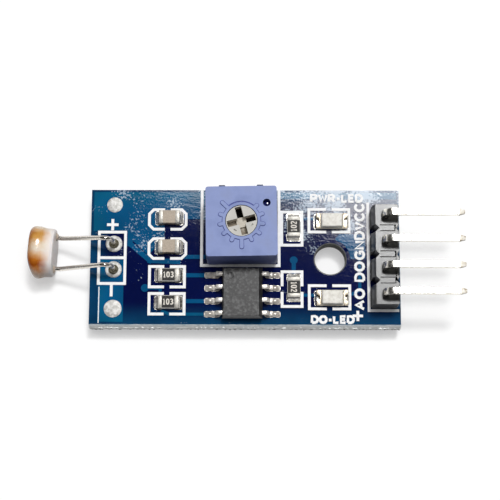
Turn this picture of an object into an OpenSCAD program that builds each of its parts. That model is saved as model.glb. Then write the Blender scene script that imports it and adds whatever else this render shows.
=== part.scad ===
// Light sensor module: a photocell, a comparator and a setting trimmer on a small circuit board.
// Millimetres. The origin is on the mounting hole's axis at the board's underside, +X runs
// towards the header pins, +Y towards the trimmer's edge of the board and +Z out of its top.

/* [Board] */
// Length of the board along X
board_l = 30; // [28:0.5:36]
// Width of the board along Y
board_w = 13.3; // [13:0.1:16]
// Thickness of the board
board_t = 1.6; // [0.8:0.1:2.4]
// Diameter of the mounting hole
mount_hole_d = 3; // [2.2:0.1:3.2]
// Mounting hole's axis from the board's right edge
mount_from_right = 6.75; // [6.4:0.05:8]
// Mounting hole's axis from the board's front edge
mount_from_front = 6.45; // [6.2:0.05:7]
// Thickness of the copper on each face
copper_t = 0.04; // [0.02:0.01:0.08]
// Thickness of the printed ink
ink_t = 0.07; // [0.05:0.01:0.12]
// Width of the printed lines
ink_w = 0.27; // [0.15:0.01:0.35]
// Width of the copper tracks
track_w = 0.4; // [0.3:0.05:0.45]
// How far the pins reach below the board
tail_l = 1.0; // [0.8:0.1:2]

/* [Photocell] */
// Diameter of the photocell
cell_d = 5.1; // [4.8:0.1:5.6]
// Height of the photocell across its two flats
cell_flat_w = 4.3; // [4:0.1:4.6]
// Thickness of the ceramic disc
cell_ceramic_t = 1.3; // [1:0.1:2]
// Thickness of the clear coat in front of the disc
cell_coat_t = 1.1; // [0.6:0.1:1.6]
// Diameter of the photocell's leads
cell_lead_d = 0.45; // [0.35:0.05:0.55]
// Spacing of the leads where they enter the disc
cell_lead_pitch = 3.1; // [2.6:0.1:3.4]
// Spacing of the photocell's holes in the board
cell_hole_pitch = 2.54; // [2.2:0.02:2.8]
// Hole line of the photocell from the board's left edge
cell_from_left = 2.28; // [1.8:0.02:3]
// Middle of the photocell's holes from the mounting hole, along Y
cell_y = 0.18; // [-0.5:0.02:0.6]
// Distance from the hole line to the back of the disc
cell_reach = 5.75; // [5:0.05:8]
// Middles of the two test pads from the board's long edges
test_pad_inset = 1.52; // [1.2:0.02:1.8]
// Turn of the photocell about the vertical
cell_yaw = 3.5; // [0:0.5:8]
// Height of the photocell's axis above the board's underside
cell_axis_z = 1.4; // [1.3:0.1:2.4]
// Height of the leads' bends above the board's top
cell_bend_h = 2.3; // [1.8:0.1:3]
// Bend radius of the leads
cell_bend_r = 0.7; // [0.5:0.05:0.8]

/* [Trimmer] */
// Width and depth of the trimmer
trimmer_w = 6.75; // [6.6:0.05:7.2]
// Thickness of the trimmer's side walls
trimmer_wall = 0.45; // [0.3:0.05:0.45]
// Height of the trimmer's top face above the board
trimmer_h = 4.4; // [4.2:0.1:6]
// Height of the trimmer's corner feet
trimmer_foot_h = 0.4; // [0.2:0.05:0.6]
// Middle of the trimmer from the mounting hole, along X
trimmer_x = -8.59; // [-9:0.01:-8.2]
// Middle of the trimmer from the mounting hole, along Y
trimmer_y = 2.76; // [2.6:0.01:3]
// Turn of the trimmer on the board
trimmer_turn = 1; // [0:0.1:3]
// Diameter of the rotor's head
rotor_d = 2.95; // [2.6:0.05:3.1]
// Radial clearance of the rotor's head in its bore
rotor_gap = 0.06; // [0.04:0.01:0.1]
// Turn of the rotor's cross slot at rest
rotor_turn = 14; // [-100:1:100]
// Width of the cross slot
slot_w = 0.62; // [0.4:0.02:0.8]
// Thickness of the housing's roof round the rotor
roof_t = 1.1; // [0.9:0.1:1.3]
// Thickness of the sealing ring
seal_d = 0.5; // [0.4:0.05:0.6]

/* [Comparator] */
// Width of the comparator's body
chip_body_w = 3.9; // [3.8:0.05:4]
// Length of the comparator's body
chip_body_l = 4.9; // [4.8:0.05:5]
// Height of the comparator's body
chip_body_h = 1.45; // [1.2:0.05:1.6]
// Gap between the comparator's body and its pads
chip_standoff = 0.15; // [0.05:0.01:0.25]
// Span over the tips of the leads
chip_span = 6; // [5.8:0.05:6.2]
// Pitch of the leads
chip_pitch = 1.27; // [1.2:0.01:1.3]
// Width of a lead
chip_lead_w = 0.42; // [0.35:0.01:0.5]
// Thickness of a lead
chip_lead_t = 0.2; // [0.15:0.01:0.25]
// Middle of the comparator from the mounting hole, along X
chip_x = -8.5; // [-8.8:0.01:-8.2]
// Middle of the comparator from the mounting hole, along Y
chip_y = -3.55; // [-3.7:0.01:-3.5]

/* [Small chips] */
// Length of the capacitors and resistors
smd_l = 2; // [1.8:0.05:2.1]
// Width of the capacitors and resistors
smd_w = 1.25; // [1.1:0.05:1.35]
// Height of the resistors
resistor_h = 0.55; // [0.4:0.05:0.7]
// Height of the capacitors
capacitor_h = 0.85; // [0.6:0.05:1.25]
// Length of a chip's end terminal
terminal_l = 0.4; // [0.25:0.05:0.5]
// Thickness of a terminal's plating
terminal_t = 0.04; // [0.03:0.01:0.06]
// Column of the four chips near the photocell, along X from the mounting hole
column_a_x = -15.62; // [-15.8:0.02:-15.4]
// Rows of those four chips, along Y from the mounting hole
column_a_y = [4.0, 1.1, -1.68, -4.33];
// Column of the two resistors near the header, along X from the mounting hole
column_b_x = -3.54; // [-3.6:0.02:-3.4]
// Rows of those two resistors, along Y from the mounting hole
column_b_y = [3.12, -2.86];
// Length of an indicator lamp
led_l = 3; // [2.8:0.05:3.2]
// Width of an indicator lamp
led_w = 1.5; // [1.3:0.05:1.6]
// Thickness of an indicator lamp's base
led_base_t = 0.35; // [0.25:0.05:0.5]
// Height of an indicator lamp over its lens
led_h = 0.95; // [0.8:0.05:1.3]
// Length of an indicator lamp's lens
led_lens_l = 2.2; // [2:0.05:2.3]
// Column of the lamps, along X from the mounting hole
led_x = 0.15; // [0:0.01:0.3]
// Rows of the lamps, along Y from the mounting hole
led_y = [3.7, -3.87];

/* [Header] */
// Number of pins
pin_count = 4; // [3:1:4]
// Pitch of the pins
pin_pitch = 2.54; // [2.4:0.02:2.54]
// Side of a square pin
pin_w = 0.64; // [0.5:0.02:0.7]
// Row of the pins, along X from the mounting hole
header_x = 5.15; // [5.1:0.01:5.3]
// Middle of the pin row from the mounting hole, along Y
header_y = 0; // [-0.1:0.01:0.1]
// Width and height of the header block
header_w = 2.54; // [2.3:0.02:2.6]
// Reach of the header block past its end pins' axes
header_end = 1.05; // [0.9:0.01:1.1]
// Height of the pins' axes above the block
pin_rise = 1.2; // [0.9:0.05:1.6]
// Reach of the pins' tips from the pin row
pin_reach = 7.45; // [6:0.05:9]
// Bend radius on the axis of a pin
pin_bend_r = 0.6; // [0.4:0.05:0.8]

/* [Hidden] */
$fn = 48;

// Board edges and levels
board_right = mount_from_right;
board_left = mount_from_right - board_l;
board_front = -mount_from_front;
board_back = board_w - mount_from_front;
board_top = board_t;
pad_top = board_t + copper_t;
through = 1;

// Photocell
cell_hole_x = board_left + cell_from_left;
cell_hole_d = cell_lead_d + 0.35;
cell_ring_d = cell_hole_d + 0.8;
cell_film_t = 0.03;
cell_margin = 0.25;
cell_track_w = 0.28;
cell_track_runs = 5;
cell_coat_r = min(0.6, cell_coat_t - 0.2);
cell_tip_l = 0.18;
wire_lap = 0.05;
wire_hair = 0.008;
test_pad_y = [board_back - test_pad_inset, board_front + test_pad_inset];
test_pad_d = [1.5, 1.7];
test_hole_d = 0.9;

// Trimmer
rotor_bore_d = rotor_d + 2 * rotor_gap;
flange_t = 0.6;
flange_gap = 0.05;
chamber_d = rotor_d + 2 * rotor_gap + 2 * seal_d + 0.8;
flange_d = chamber_d - 0.3;
wiper_t = 0.1;
wiper_room = 0.4;
wiper_hub_d = 1.6;
element_t = 0.6;
track_t = 0.05;
chamber_h = seal_d + 2 * flange_gap + flange_t + wiper_t + wiper_room;
element_top = trimmer_h - roof_t - chamber_h;
pocket_w = trimmer_w - 2 * trimmer_wall;
rotor_head_h = roof_t + seal_d + flange_gap + 0.02;
slot_depth = 0.75;
slot_reach = rotor_d / 2 - 0.1;
slot_pocket_l = 0.9;
slot_pocket_h = [for (share = [0.57, 0.8, 0.42, 0.42]) share * (rotor_head_h + flange_t)];
scale_h = 0.08;
scale_r = rotor_d / 2 + 0.32;
scale_tab_w = 0.34;
trimmer_pin_d = 0.5;
trimmer_hole_d = trimmer_pin_d + 0.3;
trimmer_pin_x = trimmer_w / 2 - 0.835;
trimmer_pin_y = trimmer_pin_x / 2;
trimmer_pin_at = [[-trimmer_pin_x, -trimmer_pin_y], [0, trimmer_pin_y], [trimmer_pin_x, -trimmer_pin_y]];
trimmer_foot_w = 0.9;
trimmer_foot_at = (trimmer_w - 1.3) / 2;

// Comparator
chip_draft = 0.16;
chip_tuck = 0.4;
chip_land_w = 0.6;
chip_land_from = chip_span / 2 - 0.65;
chip_land_to = chip_span / 2 + 0.67;

// Small chips
smd_land_w = smd_w + 0.15;
smd_land_to = 0.38;
smd_land_in = 0.45;
led_land_to = 0.22;
lamp_notch_r = 0.34;
coat_t = 0.04;

// Header
header_hole_d = pin_w * 1.414 + 0.12;
header_top = board_top + header_w;
header_bevel = [header_w / 8, header_w / 3];
header_notch_w = 0.37;
header_nick = 0.28;
header_corner = 0.12;
pin_axis_z = header_top + pin_rise;
groove_depth = 0.3;
groove_line = 0.09;
groove_half_w = 0.33;
groove_end_gap = 0.3;

// Printed lines
ink_shift = [-0.17, -0.12];
sign_reach = 0.43;
sign_gap = 1.87;
frame_cut = 0.5;
square_cut = 0.01;
lamp_frame_shift = [-0.25, 0.1];
header_frame_gap = 0.19;
frame_left = trimmer_x - trimmer_w / 2 - 0.5;
frame_right = trimmer_x + trimmer_w / 2 + 0.26;
frame_front = trimmer_y - trimmer_w / 2 - 0.065;

// Curves
function unit(v) = v / norm(v);
function side(v) = [-v[1], v[0]];
function corner_arc(a, b, c, r, n) =
    let (
        u = unit(a - b),
        w = unit(c - b),
        half = acos(u * w) / 2,
        middle = b + unit(u + w) * r / sin(half),
        p = b + u * r / tan(half) - middle,
        q = b + w * r / tan(half) - middle,
        from = atan2(p[1], p[0]),
        turn = (atan2(q[1], q[0]) - from + 540) % 360 - 180
    )
    [for (i = [0:n]) middle + r * [cos(from + turn * i / n), sin(from + turn * i / n)]];
function rounded_path(points, r, n = 5) = [
    for (i = [0:len(points) - 1])
        each (i == 0 || i == len(points) - 1)
            ? [points[i]]
            : corner_arc(points[i - 1], points[i], points[i + 1], r, n)
];
function path_side(path, i) =
    let (
        last = len(path) - 1,
        before = unit(path[max(i, 1)] - path[max(i, 1) - 1]),
        after = unit(path[min(i, last - 1) + 1] - path[min(i, last - 1)]),
        middle = unit(before + after)
    )
    side(middle) / (middle * after);
function ribbon(path, t) = concat(
    [for (i = [0:len(path) - 1]) path[i] + path_side(path, i) * t / 2],
    [for (i = [len(path) - 1:-1:0]) path[i] - path_side(path, i) * t / 2]
);

// A box standing on z, centred in x and y
module block(size, z) {
    translate([-size[0] / 2, -size[1] / 2, z]) cube(size);
}

// A flat bar of width w from point a to point b
module bar(a, b, w) {
    translate(a) rotate(atan2(b[1] - a[1], b[0] - a[0]))
        translate([-w / 2, -w / 2]) square([norm(b - a) + w, w]);
}

// A line of width w through a list of points
module line_through(points, w) {
    for (i = [0:len(points) - 2]) bar(points[i], points[i + 1], w);
}

// Places of the parts

module at_cell_holes() {
    for (s = [-1, 1]) translate([cell_hole_x, cell_y + s * cell_hole_pitch / 2]) children();
}

module at_trimmer() {
    translate([trimmer_x, trimmer_y, board_top]) rotate(trimmer_turn) children();
}

module at_element_pins() {
    for (p = trimmer_pin_at) translate(p) children();
}

module at_trimmer_corners() {
    for (x = [-1, 1], y = [-1, 1]) translate([x * trimmer_foot_at, y * trimmer_foot_at]) children();
}

// The trimmer's pins, from the board's underside
module at_trimmer_pins() {
    translate([0, 0, -board_top]) at_trimmer() at_element_pins() children();
}

module at_header_pins() {
    for (i = [0:pin_count - 1]) translate([header_x, pin_row_y(i)]) children();
}

function pin_row_y(i) = header_y + ((pin_count - 1) / 2 - i) * pin_pitch;

module at_capacitor(i) {
    translate([column_a_x, column_a_y[i], pad_top]) children();
}

module at_resistor(i) {
    if (i < 2) translate([column_a_x, column_a_y[i + 2], pad_top]) children();
    else translate([column_b_x, column_b_y[i - 2], pad_top]) rotate(90) children();
}

module at_lamp(i) {
    translate([led_x, led_y[i], pad_top]) children();
}

module at_comparator() {
    translate([chip_x, chip_y, pad_top]) children();
}

// Leads 1 to 4 run down the left side and 5 to 8 back up the right
module at_lead_seat(i) {
    side_turn = i < 4 ? 180 : 0;
    row = i < 4 ? 1.5 - i : i - 5.5;
    translate([0, row * chip_pitch]) rotate(side_turn) children();
}

module at_comparator_lead(i) {
    at_comparator() at_lead_seat(i) children();
}

// Board

module round_hole(d) {
    translate([0, 0, -through]) cylinder(d = d, h = board_t + 2 * through);
}

module board_holes() {
    round_hole(mount_hole_d);
    at_cell_holes() round_hole(cell_hole_d);
    at_header_pins() round_hole(header_hole_d);
    at_trimmer_pins() round_hole(trimmer_hole_d);
    for (i = [0, 1]) translate([cell_hole_x, test_pad_y[i]]) round_hole(test_hole_d);
}

module board() {
    color("#16456f") difference() {
        translate([board_left, board_front, 0]) cube([board_l, board_w, board_t]);
        board_holes();
    }
}

// Copper and pads

// Ends of a chip's and a lamp's lands from their middles
smd_land_end = smd_l / 2 + smd_land_to;
led_land_end = led_l / 2 + led_land_to;
column_a_east = column_a_x + smd_land_end + track_w / 2;
comparator_west = chip_x - chip_land_to - track_w / 2;
via_d = track_w + 0.35;
via_a = [column_a_x - 2.29, (column_a_y[2] + column_a_y[3]) / 2 + 0.1];
via_b = [column_b_x, (column_b_y[0] + column_b_y[1]) / 2 - 0.26];
fine_w = track_w - 0.1;
wide_w = track_w + 0.1;
function comparator_row(i) = chip_y + (1.5 - i) * chip_pitch;
function column_a_edge(i, up) = column_a_y[i] + up * (smd_land_w + track_w) / 2;

module via(at) {
    translate(at) circle(d = via_d, $fn = 24);
}

module top_tracks() {
    cell_north_y = cell_y + cell_hole_pitch / 2;
    below_c2 = column_a_y[1] - smd_land_w / 2;
    link_x = column_a_x - 0.68;
    fine_x = column_a_x - 0.8;
    lamp_east = led_x + led_land_end + fine_w / 2;
    legend_x = led_x + 2.68;
    line_through([[cell_hole_x + 1.25, cell_north_y], [cell_hole_x + 1.55, cell_north_y],
        [column_a_x - 1.84, below_c2 - 0.6], [column_a_x + 0.87, below_c2 - 0.7]], wide_w);
    line_through([[link_x, column_a_edge(0, -1)], [link_x, column_a_edge(1, 1)]], track_w);
    line_through([[column_a_east, column_a_y[0] + 0.13], [frame_left + 0.2, column_a_y[0] + 0.13]], track_w);
    line_through([[column_a_east, below_c2 - 0.23], [frame_left + 0.2, below_c2 - 0.23]], track_w);
    line_through([[column_a_east, comparator_row(0)], [comparator_west, comparator_row(0)]], track_w);
    line_through([[column_a_east, comparator_row(2)], [comparator_west, comparator_row(2)]], track_w);
    line_through([[column_a_x - 0.55, column_a_edge(3, -1) + 0.05], [column_a_x + 0.1, comparator_row(3)],
        [comparator_west, comparator_row(3)]], fine_w);
    via(via_a);
    line_through([via_a, [fine_x, via_a[1]], [fine_x, column_a_edge(3, 1) - 0.05]], fine_w);
    via(via_b);
    line_through([via_b, [column_b_x, column_b_y[1] + smd_land_end + track_w / 2]], track_w);
    for (i = [0, 1]) line_through([
        [column_b_x + (smd_land_w + fine_w) / 2, led_y[i] + 0.3],
        [led_x - led_land_end - fine_w / 2, led_y[i] + 0.3]
    ], fine_w);
    line_through([[lamp_east, led_y[1] + 0.4], [legend_x, led_y[1] + 0.8], [legend_x, header_y]], fine_w);
}

module top_copper() {
    color("#1f6f9e") translate([0, 0, board_top]) linear_extrude(copper_t) top_tracks();
}

module bottom_tracks() {
    pin_x = header_x - 1.2;
    cell_south_y = cell_y - cell_hole_pitch / 2;
    north_y = board_back - 1.25;
    south_y = board_front + 1.05;
    pass_y = mount_hole_d / 2 + 0.9;
    line_through([[cell_hole_x, cell_south_y - 1.2], [cell_hole_x, test_pad_y[1] + 1.1]], wide_w);
    line_through([[pin_x, pin_row_y(0)], [pin_x - 1.4, pin_row_y(0)], [led_x + 1, north_y],
        [cell_hole_x + 1.3, north_y]], wide_w);
    line_through([[pin_x, pin_row_y(1)], [pin_x - 1.4, pin_row_y(1)], [led_x + 1.4, pass_y],
        [column_b_x, pass_y], [trimmer_x + trimmer_pin_x + 1.2, trimmer_y - trimmer_pin_y]], track_w);
    line_through([[pin_x, pin_row_y(2)], [pin_x - 1.4, pin_row_y(2)], [led_x + 1.4, -pass_y],
        [column_b_x, -pass_y], via_b], track_w);
    line_through([[pin_x, pin_row_y(3)], [pin_x - 1.4, pin_row_y(3)], [led_x + 1, south_y],
        [column_a_x - 1.6, south_y], [cell_hole_x + 1.3, cell_south_y - 0.5]], track_w);
    line_through([[trimmer_x - trimmer_pin_x - 1.2, trimmer_y - trimmer_pin_y],
        [frame_left - 0.6, trimmer_y - trimmer_pin_y], via_a], track_w);
    via(via_a);
    via(via_b);
}

module bottom_copper() {
    color("#1f6f9e") translate([0, 0, -copper_t]) linear_extrude(copper_t) bottom_tracks();
}

module ring(outer_d, inner_d, z) {
    translate([0, 0, z]) difference() {
        cylinder(d = outer_d, h = copper_t);
        translate([0, 0, -through]) cylinder(d = inner_d, h = copper_t + 2 * through);
    }
}

module chip_lands(l, w, reach) {
    for (s = [0, 180]) rotate(s)
        translate([l / 2 - smd_land_in, -w / 2, -copper_t]) cube([smd_land_in + reach, w, copper_t]);
}

module tinned_pads() {
    color("#d9d3c6") {
        at_cell_holes() {
            ring(cell_ring_d, cell_hole_d, board_top);
            ring(cell_ring_d + 0.2, cell_hole_d, -copper_t);
        }
        for (i = [0, 1]) translate([cell_hole_x, test_pad_y[i]]) {
            ring(test_pad_d[i], test_hole_d, board_top);
            ring(1.6, test_hole_d, -copper_t);
        }
        at_header_pins() ring(1.9, header_hole_d, -copper_t);
        at_trimmer_pins() ring(1.7, trimmer_hole_d, -copper_t);
        for (i = [0, 1]) at_capacitor(i) chip_lands(smd_l, smd_land_w, smd_land_to);
        for (i = [0:3]) at_resistor(i) chip_lands(smd_l, smd_land_w, smd_land_to);
        for (i = [0, 1]) at_lamp(i) chip_lands(led_l, led_w, led_land_to);
        for (i = [0:7]) at_comparator_lead(i)
            translate([chip_land_from, -chip_land_w / 2, -copper_t])
                cube([chip_land_to - chip_land_from, chip_land_w, copper_t]);
    }
}

// Printed lines

// A box with its corners cut off at 45 degrees
module cut_box(l, w, cut) {
    x = l / 2;
    y = w / 2;
    polygon([
        [cut - x, -y], [x - cut, -y], [x, cut - y], [x, y - cut],
        [x - cut, y], [cut - x, y], [-x, y - cut], [-x, cut - y]
    ]);
}

// A chip's printed frame, open in the middle of its long sides
module chip_frame(l, w, cut) {
    inner_cut = max(0.01, cut - 0.6 * ink_w);
    difference() {
        cut_box(l + ink_w, w + ink_w, cut);
        cut_box(l - ink_w, w - ink_w, inner_cut);
        square([0.55, 2 * w], center = true);
    }
}

// A closed frame
module box_frame(l, w) {
    difference() {
        square([l + ink_w, w + ink_w], center = true);
        square([l - ink_w, w - ink_w], center = true);
    }
}

module ink_outline() {
    header_frame_x = header_x - header_w / 2 - header_frame_gap + 0.01;
    header_frame_y = pin_row_y(pin_count - 1) - header_end - header_frame_gap;
    translate(ink_shift) {
        for (i = [0, 1]) translate([column_a_x, column_a_y[i]])
            chip_frame(smd_l + 1.57, smd_w + 0.7, frame_cut);
        for (i = [2, 3]) translate([column_a_x, column_a_y[i]])
            chip_frame(smd_l + 1.38, smd_w + 0.75, square_cut);
        translate([column_b_x, column_b_y[0]]) box_frame(smd_w + 0.72, smd_l + 1.3);
        translate([column_b_x, column_b_y[1]]) rotate(90) chip_frame(smd_l + 1.4, smd_w + 0.67, square_cut);
        for (s = [-1, 1]) translate([cell_hole_x, cell_y + s * cell_hole_pitch / 2])
            box_frame(cell_hole_pitch, cell_hole_pitch);
        translate([cell_hole_x, test_pad_y[0] - sign_gap]) {
            bar([-sign_reach, 0], [sign_reach, 0], ink_w);
            bar([0, -sign_reach], [0, sign_reach], ink_w);
        }
        translate([cell_hole_x, test_pad_y[1] + sign_gap]) bar([0, -sign_reach], [0, sign_reach], ink_w);
    }
    for (y = led_y) translate([led_x, y] + lamp_frame_shift)
        chip_frame(led_l + 0.9, led_w + 0.76, square_cut);
    line_through([[frame_left, board_back - ink_w / 2], [frame_left, frame_front],
        [frame_right, frame_front], [frame_right, board_back - ink_w / 2]], ink_w);
    line_through([[header_frame_x, pin_row_y(0) + 1.69], [header_frame_x, header_frame_y],
        [board_right - 0.3, header_frame_y]], ink_w);
}

module legend_lines() {
    color("#f4f2ea") difference() {
        translate([0, 0, board_top]) linear_extrude(ink_t) ink_outline();
        top_copper();
        tinned_pads();
        at_trimmer() at_trimmer_corners() trimmer_foot();
    }
}

// Photocell

cell_out = [-cos(cell_yaw), sin(cell_yaw)];
cell_across = [sin(cell_yaw), cos(cell_yaw)];
function cell_hole(s) = [cell_hole_x, cell_y + s * cell_hole_pitch / 2];
function cell_entry(s) =
    [cell_hole_x, cell_y] + cell_reach * cell_out + s * cell_lead_pitch / 2 * cell_across;

module at_cell() {
    translate([cell_hole_x, cell_y, 0]) rotate(180 - cell_yaw)
        translate([cell_reach, 0, cell_axis_z]) rotate([0, 90, 0]) children();
}

// The disc's outline: round, with a flat above and below, drawn in by margin all round
module cell_outline(margin) {
    intersection() {
        circle(d = cell_d - 2 * margin);
        square([cell_flat_w - 2 * margin, cell_d], center = true);
    }
}

module cell_ceramic() {
    color("#efe3da") difference() {
        at_cell() linear_extrude(cell_ceramic_t) cell_outline(0);
        for (s = [-1, 1]) cell_lead(s);
    }
}

module cell_film() {
    color("#d98a2b") difference() {
        at_cell() translate([0, 0, cell_ceramic_t]) linear_extrude(cell_film_t) cell_outline(cell_margin);
        for (s = [-1, 1]) cell_lead(s);
    }
}

// The zigzag line that parts the two electrodes
module cell_zigzag() {
    step = (cell_flat_w - 2 * cell_margin) / (cell_track_runs + 1);
    half = cell_d / 2 - cell_margin - 0.75;
    first = -(cell_track_runs - 1) / 2;
    points = [
        for (i = [0:cell_track_runs - 1])
            for (s = i % 2 == 0 ? [-1, 1] : [1, -1]) [(first + i) * step, s * half]
    ];
    far = cell_d;
    line_through(concat([[first * step, -far]], points, [[-first * step, far]]), cell_track_w);
}

module cell_electrodes() {
    color("#c9b79a") difference() {
        at_cell() translate([0, 0, cell_ceramic_t + cell_film_t]) linear_extrude(cell_film_t)
            difference() {
                cell_outline(cell_margin);
                cell_zigzag();
            }
        for (s = [-1, 1]) cell_lead(s);
    }
}

module cell_coat() {
    r = cell_d / 2;
    color("#e8d9bf") difference() {
        at_cell() translate([0, 0, cell_ceramic_t]) intersection() {
            rotate_extrude() union() {
                square([r, cell_coat_t - cell_coat_r]);
                square([r - cell_coat_r, cell_coat_t]);
                translate([r - cell_coat_r, cell_coat_t - cell_coat_r]) circle(r = cell_coat_r);
            }
            block([cell_flat_w, cell_d, cell_coat_t], 0);
        }
        cell_film();
        cell_electrodes();
        for (s = [-1, 1]) cell_lead(s);
    }
}

// A wire in the XY plane is straight runs and bends. A run reaches a little way into the bend at
// its start or end, where it is a hair thinner, so that the two become one solid.
module wire_run(from, heading, l, d, into_start, into_end) {
    translate(from) rotate(heading) rotate([0, 90, 0]) translate([0, 0, -into_start])
        cylinder(d = d - wire_hair, h = l + into_start + into_end);
}

module wire_bend(middle, r, from, turn, d) {
    translate(middle) rotate(from) rotate_extrude(angle = turn) translate([r, 0]) circle(d = d);
}

// One lead: up through the board, over, down along a slope and level into the disc
module cell_lead(s) {
    hole = cell_hole(s);
    entry = cell_entry(s);
    run = entry - hole;
    r = cell_bend_r;
    crest = board_top + cell_bend_h;
    level_l = 0.45;
    across = norm(run) - r - level_l;
    drop = crest - cell_axis_z;
    slope_l = sqrt(pow(across, 2) + pow(2 * r - drop, 2) - 4 * r * r);
    slope = atan2(drop - 2 * r, across) + atan2(2 * r, slope_l);
    bend_1 = [r, crest - r];
    slope_start = bend_1 + r * [sin(slope), cos(slope)];
    slope_end = slope_start + slope_l * [cos(slope), -sin(slope)];
    bend_2 = slope_end + r * [sin(slope), cos(slope)];
    in_disc = cell_ceramic_t + 2 * cell_film_t + cell_tip_l;
    translate(hole) rotate(atan2(run[1], run[0])) rotate([90, 0, 0]) {
        wire_run([0, -tail_l], 90, tail_l + crest - r, cell_lead_d, 0, wire_lap);
        wire_bend(bend_1, r, 90 - slope, 90 + slope, cell_lead_d);
        wire_run(slope_start, -slope, slope_l, cell_lead_d, wire_lap, wire_lap);
        wire_bend(bend_2, r, 270 - slope, slope, cell_lead_d);
        wire_run(bend_2 - [0, r], 0, level_l + in_disc, cell_lead_d, wire_lap, 0);
    }
}

module cell_lead_north() {
    color("#cfcac2") cell_lead(1);
}

module cell_lead_south() {
    color("#cfcac2") cell_lead(-1);
}

// Trimmer

module rounded_square(w, r) {
    square([w, w - 2 * r], center = true);
    square([w - 2 * r, w], center = true);
    for (x = [-1, 1], y = [-1, 1]) translate([x * (w / 2 - r), y * (w / 2 - r)]) circle(r = r);
}

// The raised setting scale: a collar with eleven tabs over 270 degrees, the first and middle ones long
module trimmer_scale() {
    circle(r = scale_r);
    for (i = [0:10]) rotate(135 + 27 * i) {
        reach = (i % 5 == 0 && i < 10) ? scale_r + 0.9 : scale_r + 0.45;
        translate([0, -scale_tab_w / 2]) square([reach - scale_tab_w / 2, scale_tab_w]);
        translate([reach - scale_tab_w / 2, 0]) circle(d = scale_tab_w, $fn = 16);
    }
}

module trimmer_foot() {
    block([trimmer_foot_w, trimmer_foot_w, trimmer_foot_h + 0.2], 0);
}

module trimmer_housing() {
    rib = [0.62, 0.2, trimmer_h - trimmer_foot_h - 0.6];
    rib_x = trimmer_w / 2 - 1.575;
    color("#8793cf") at_trimmer() difference() {
        union() {
            translate([0, 0, trimmer_foot_h]) linear_extrude(trimmer_h - trimmer_foot_h)
                rounded_square(trimmer_w, 0.25);
            translate([0, 0, trimmer_h]) linear_extrude(scale_h) trimmer_scale();
            at_trimmer_corners() trimmer_foot();
            for (s = [-1, 1]) translate([s * rib_x - 0.05, trimmer_w / 2 - 0.02]) block(rib, trimmer_foot_h);
        }
        translate([0, 0, element_top]) cylinder(d = rotor_bore_d, h = trimmer_h);
        translate([0, 0, element_top]) cylinder(d = chamber_d, h = chamber_h);
        block([pocket_w, pocket_w, element_top + through], -through);
        translate([trimmer_w / 2 - 0.955, trimmer_w / 2 - 1.635, trimmer_h - roof_t + 0.1])
            cylinder(d = 0.74, h = roof_t + through);
    }
}

// A cross slot whose arms end in pockets of different depths, and two small dimples
module trimmer_rotor() {
    head_z = trimmer_h + 0.02 - rotor_head_h;
    color("#e9e4d8") at_trimmer() rotate(rotor_turn) difference() {
        union() {
            translate([0, 0, head_z]) cylinder(d = rotor_d, h = rotor_head_h);
            translate([0, 0, head_z - flange_t]) cylinder(d = flange_d, h = flange_t);
            translate([0, 0, head_z - flange_t - wiper_t]) cylinder(d = wiper_hub_d, h = wiper_t);
        }
        for (a = [0, 90]) rotate(a)
            block([2 * slot_reach, slot_w, slot_depth + through], trimmer_h - slot_depth);
        for (i = [0:3]) rotate(90 * i) translate([slot_reach - slot_pocket_l / 2, 0])
            block([slot_pocket_l, slot_w, trimmer_h], trimmer_h - slot_pocket_h[i]);
        for (a = [222, 322]) rotate(a) translate([1.1, 0]) block([0.14, 0.3, through], trimmer_h - 0.15);
    }
}

module trimmer_seal() {
    r = rotor_d / 2 + rotor_gap + seal_d / 2;
    color("#3a3a3d") at_trimmer() translate([0, 0, trimmer_h - roof_t - seal_d / 2])
        rotate_extrude() translate([r, 0]) circle(d = seal_d, $fn = 32);
}

module trimmer_wiper() {
    z = trimmer_h - roof_t - seal_d - flange_gap - flange_t - wiper_t;
    touch = wiper_room - track_t - 0.08;
    r = chamber_d / 2;
    finger = rounded_path([
        [0.37 * r, wiper_t / 2], [0.555 * r, wiper_t / 2], [0.8 * r, -touch], [0.905 * r, -touch + 0.12]
    ], 0.15, 3);
    color("#c8a24a") at_trimmer() rotate(rotor_turn) translate([0, 0, z]) {
        difference() {
            cylinder(r = 0.575 * r, h = wiper_t);
            translate([0, 0, -through]) cylinder(d = wiper_hub_d, h = 2 * through);
        }
        for (a = [0, 180]) rotate(a) rotate([90, 0, 0]) translate([0, 0, -0.25])
            linear_extrude(0.5) polygon(ribbon(finger, wiper_t));
    }
}

module trimmer_element() {
    color("#efece4") at_trimmer() difference() {
        union() {
            block([pocket_w - 0.1, pocket_w - 0.1, element_t], element_top - element_t);
            translate([0, 0, element_top]) rotate(-45) rotate_extrude(angle = 270)
                translate([0.7 * chamber_d / 2, 0]) square([0.2 * chamber_d / 2, track_t]);
        }
        at_element_pins() translate([0, 0, -through]) cylinder(d = trimmer_pin_d, h = trimmer_h);
    }
}

module trimmer_base() {
    color("#3f4a86") at_trimmer() difference() {
        block([pocket_w, pocket_w, element_top - element_t - trimmer_foot_h], trimmer_foot_h);
        at_element_pins() translate([0, 0, -through]) cylinder(d = trimmer_pin_d, h = trimmer_h);
    }
}

module trimmer_pin(i) {
    color("#cfcac2") at_trimmer() translate(trimmer_pin_at[i])
        translate([0, 0, -board_t - tail_l]) cylinder(d = trimmer_pin_d, h = board_t + tail_l + element_top);
}

// Comparator

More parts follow.
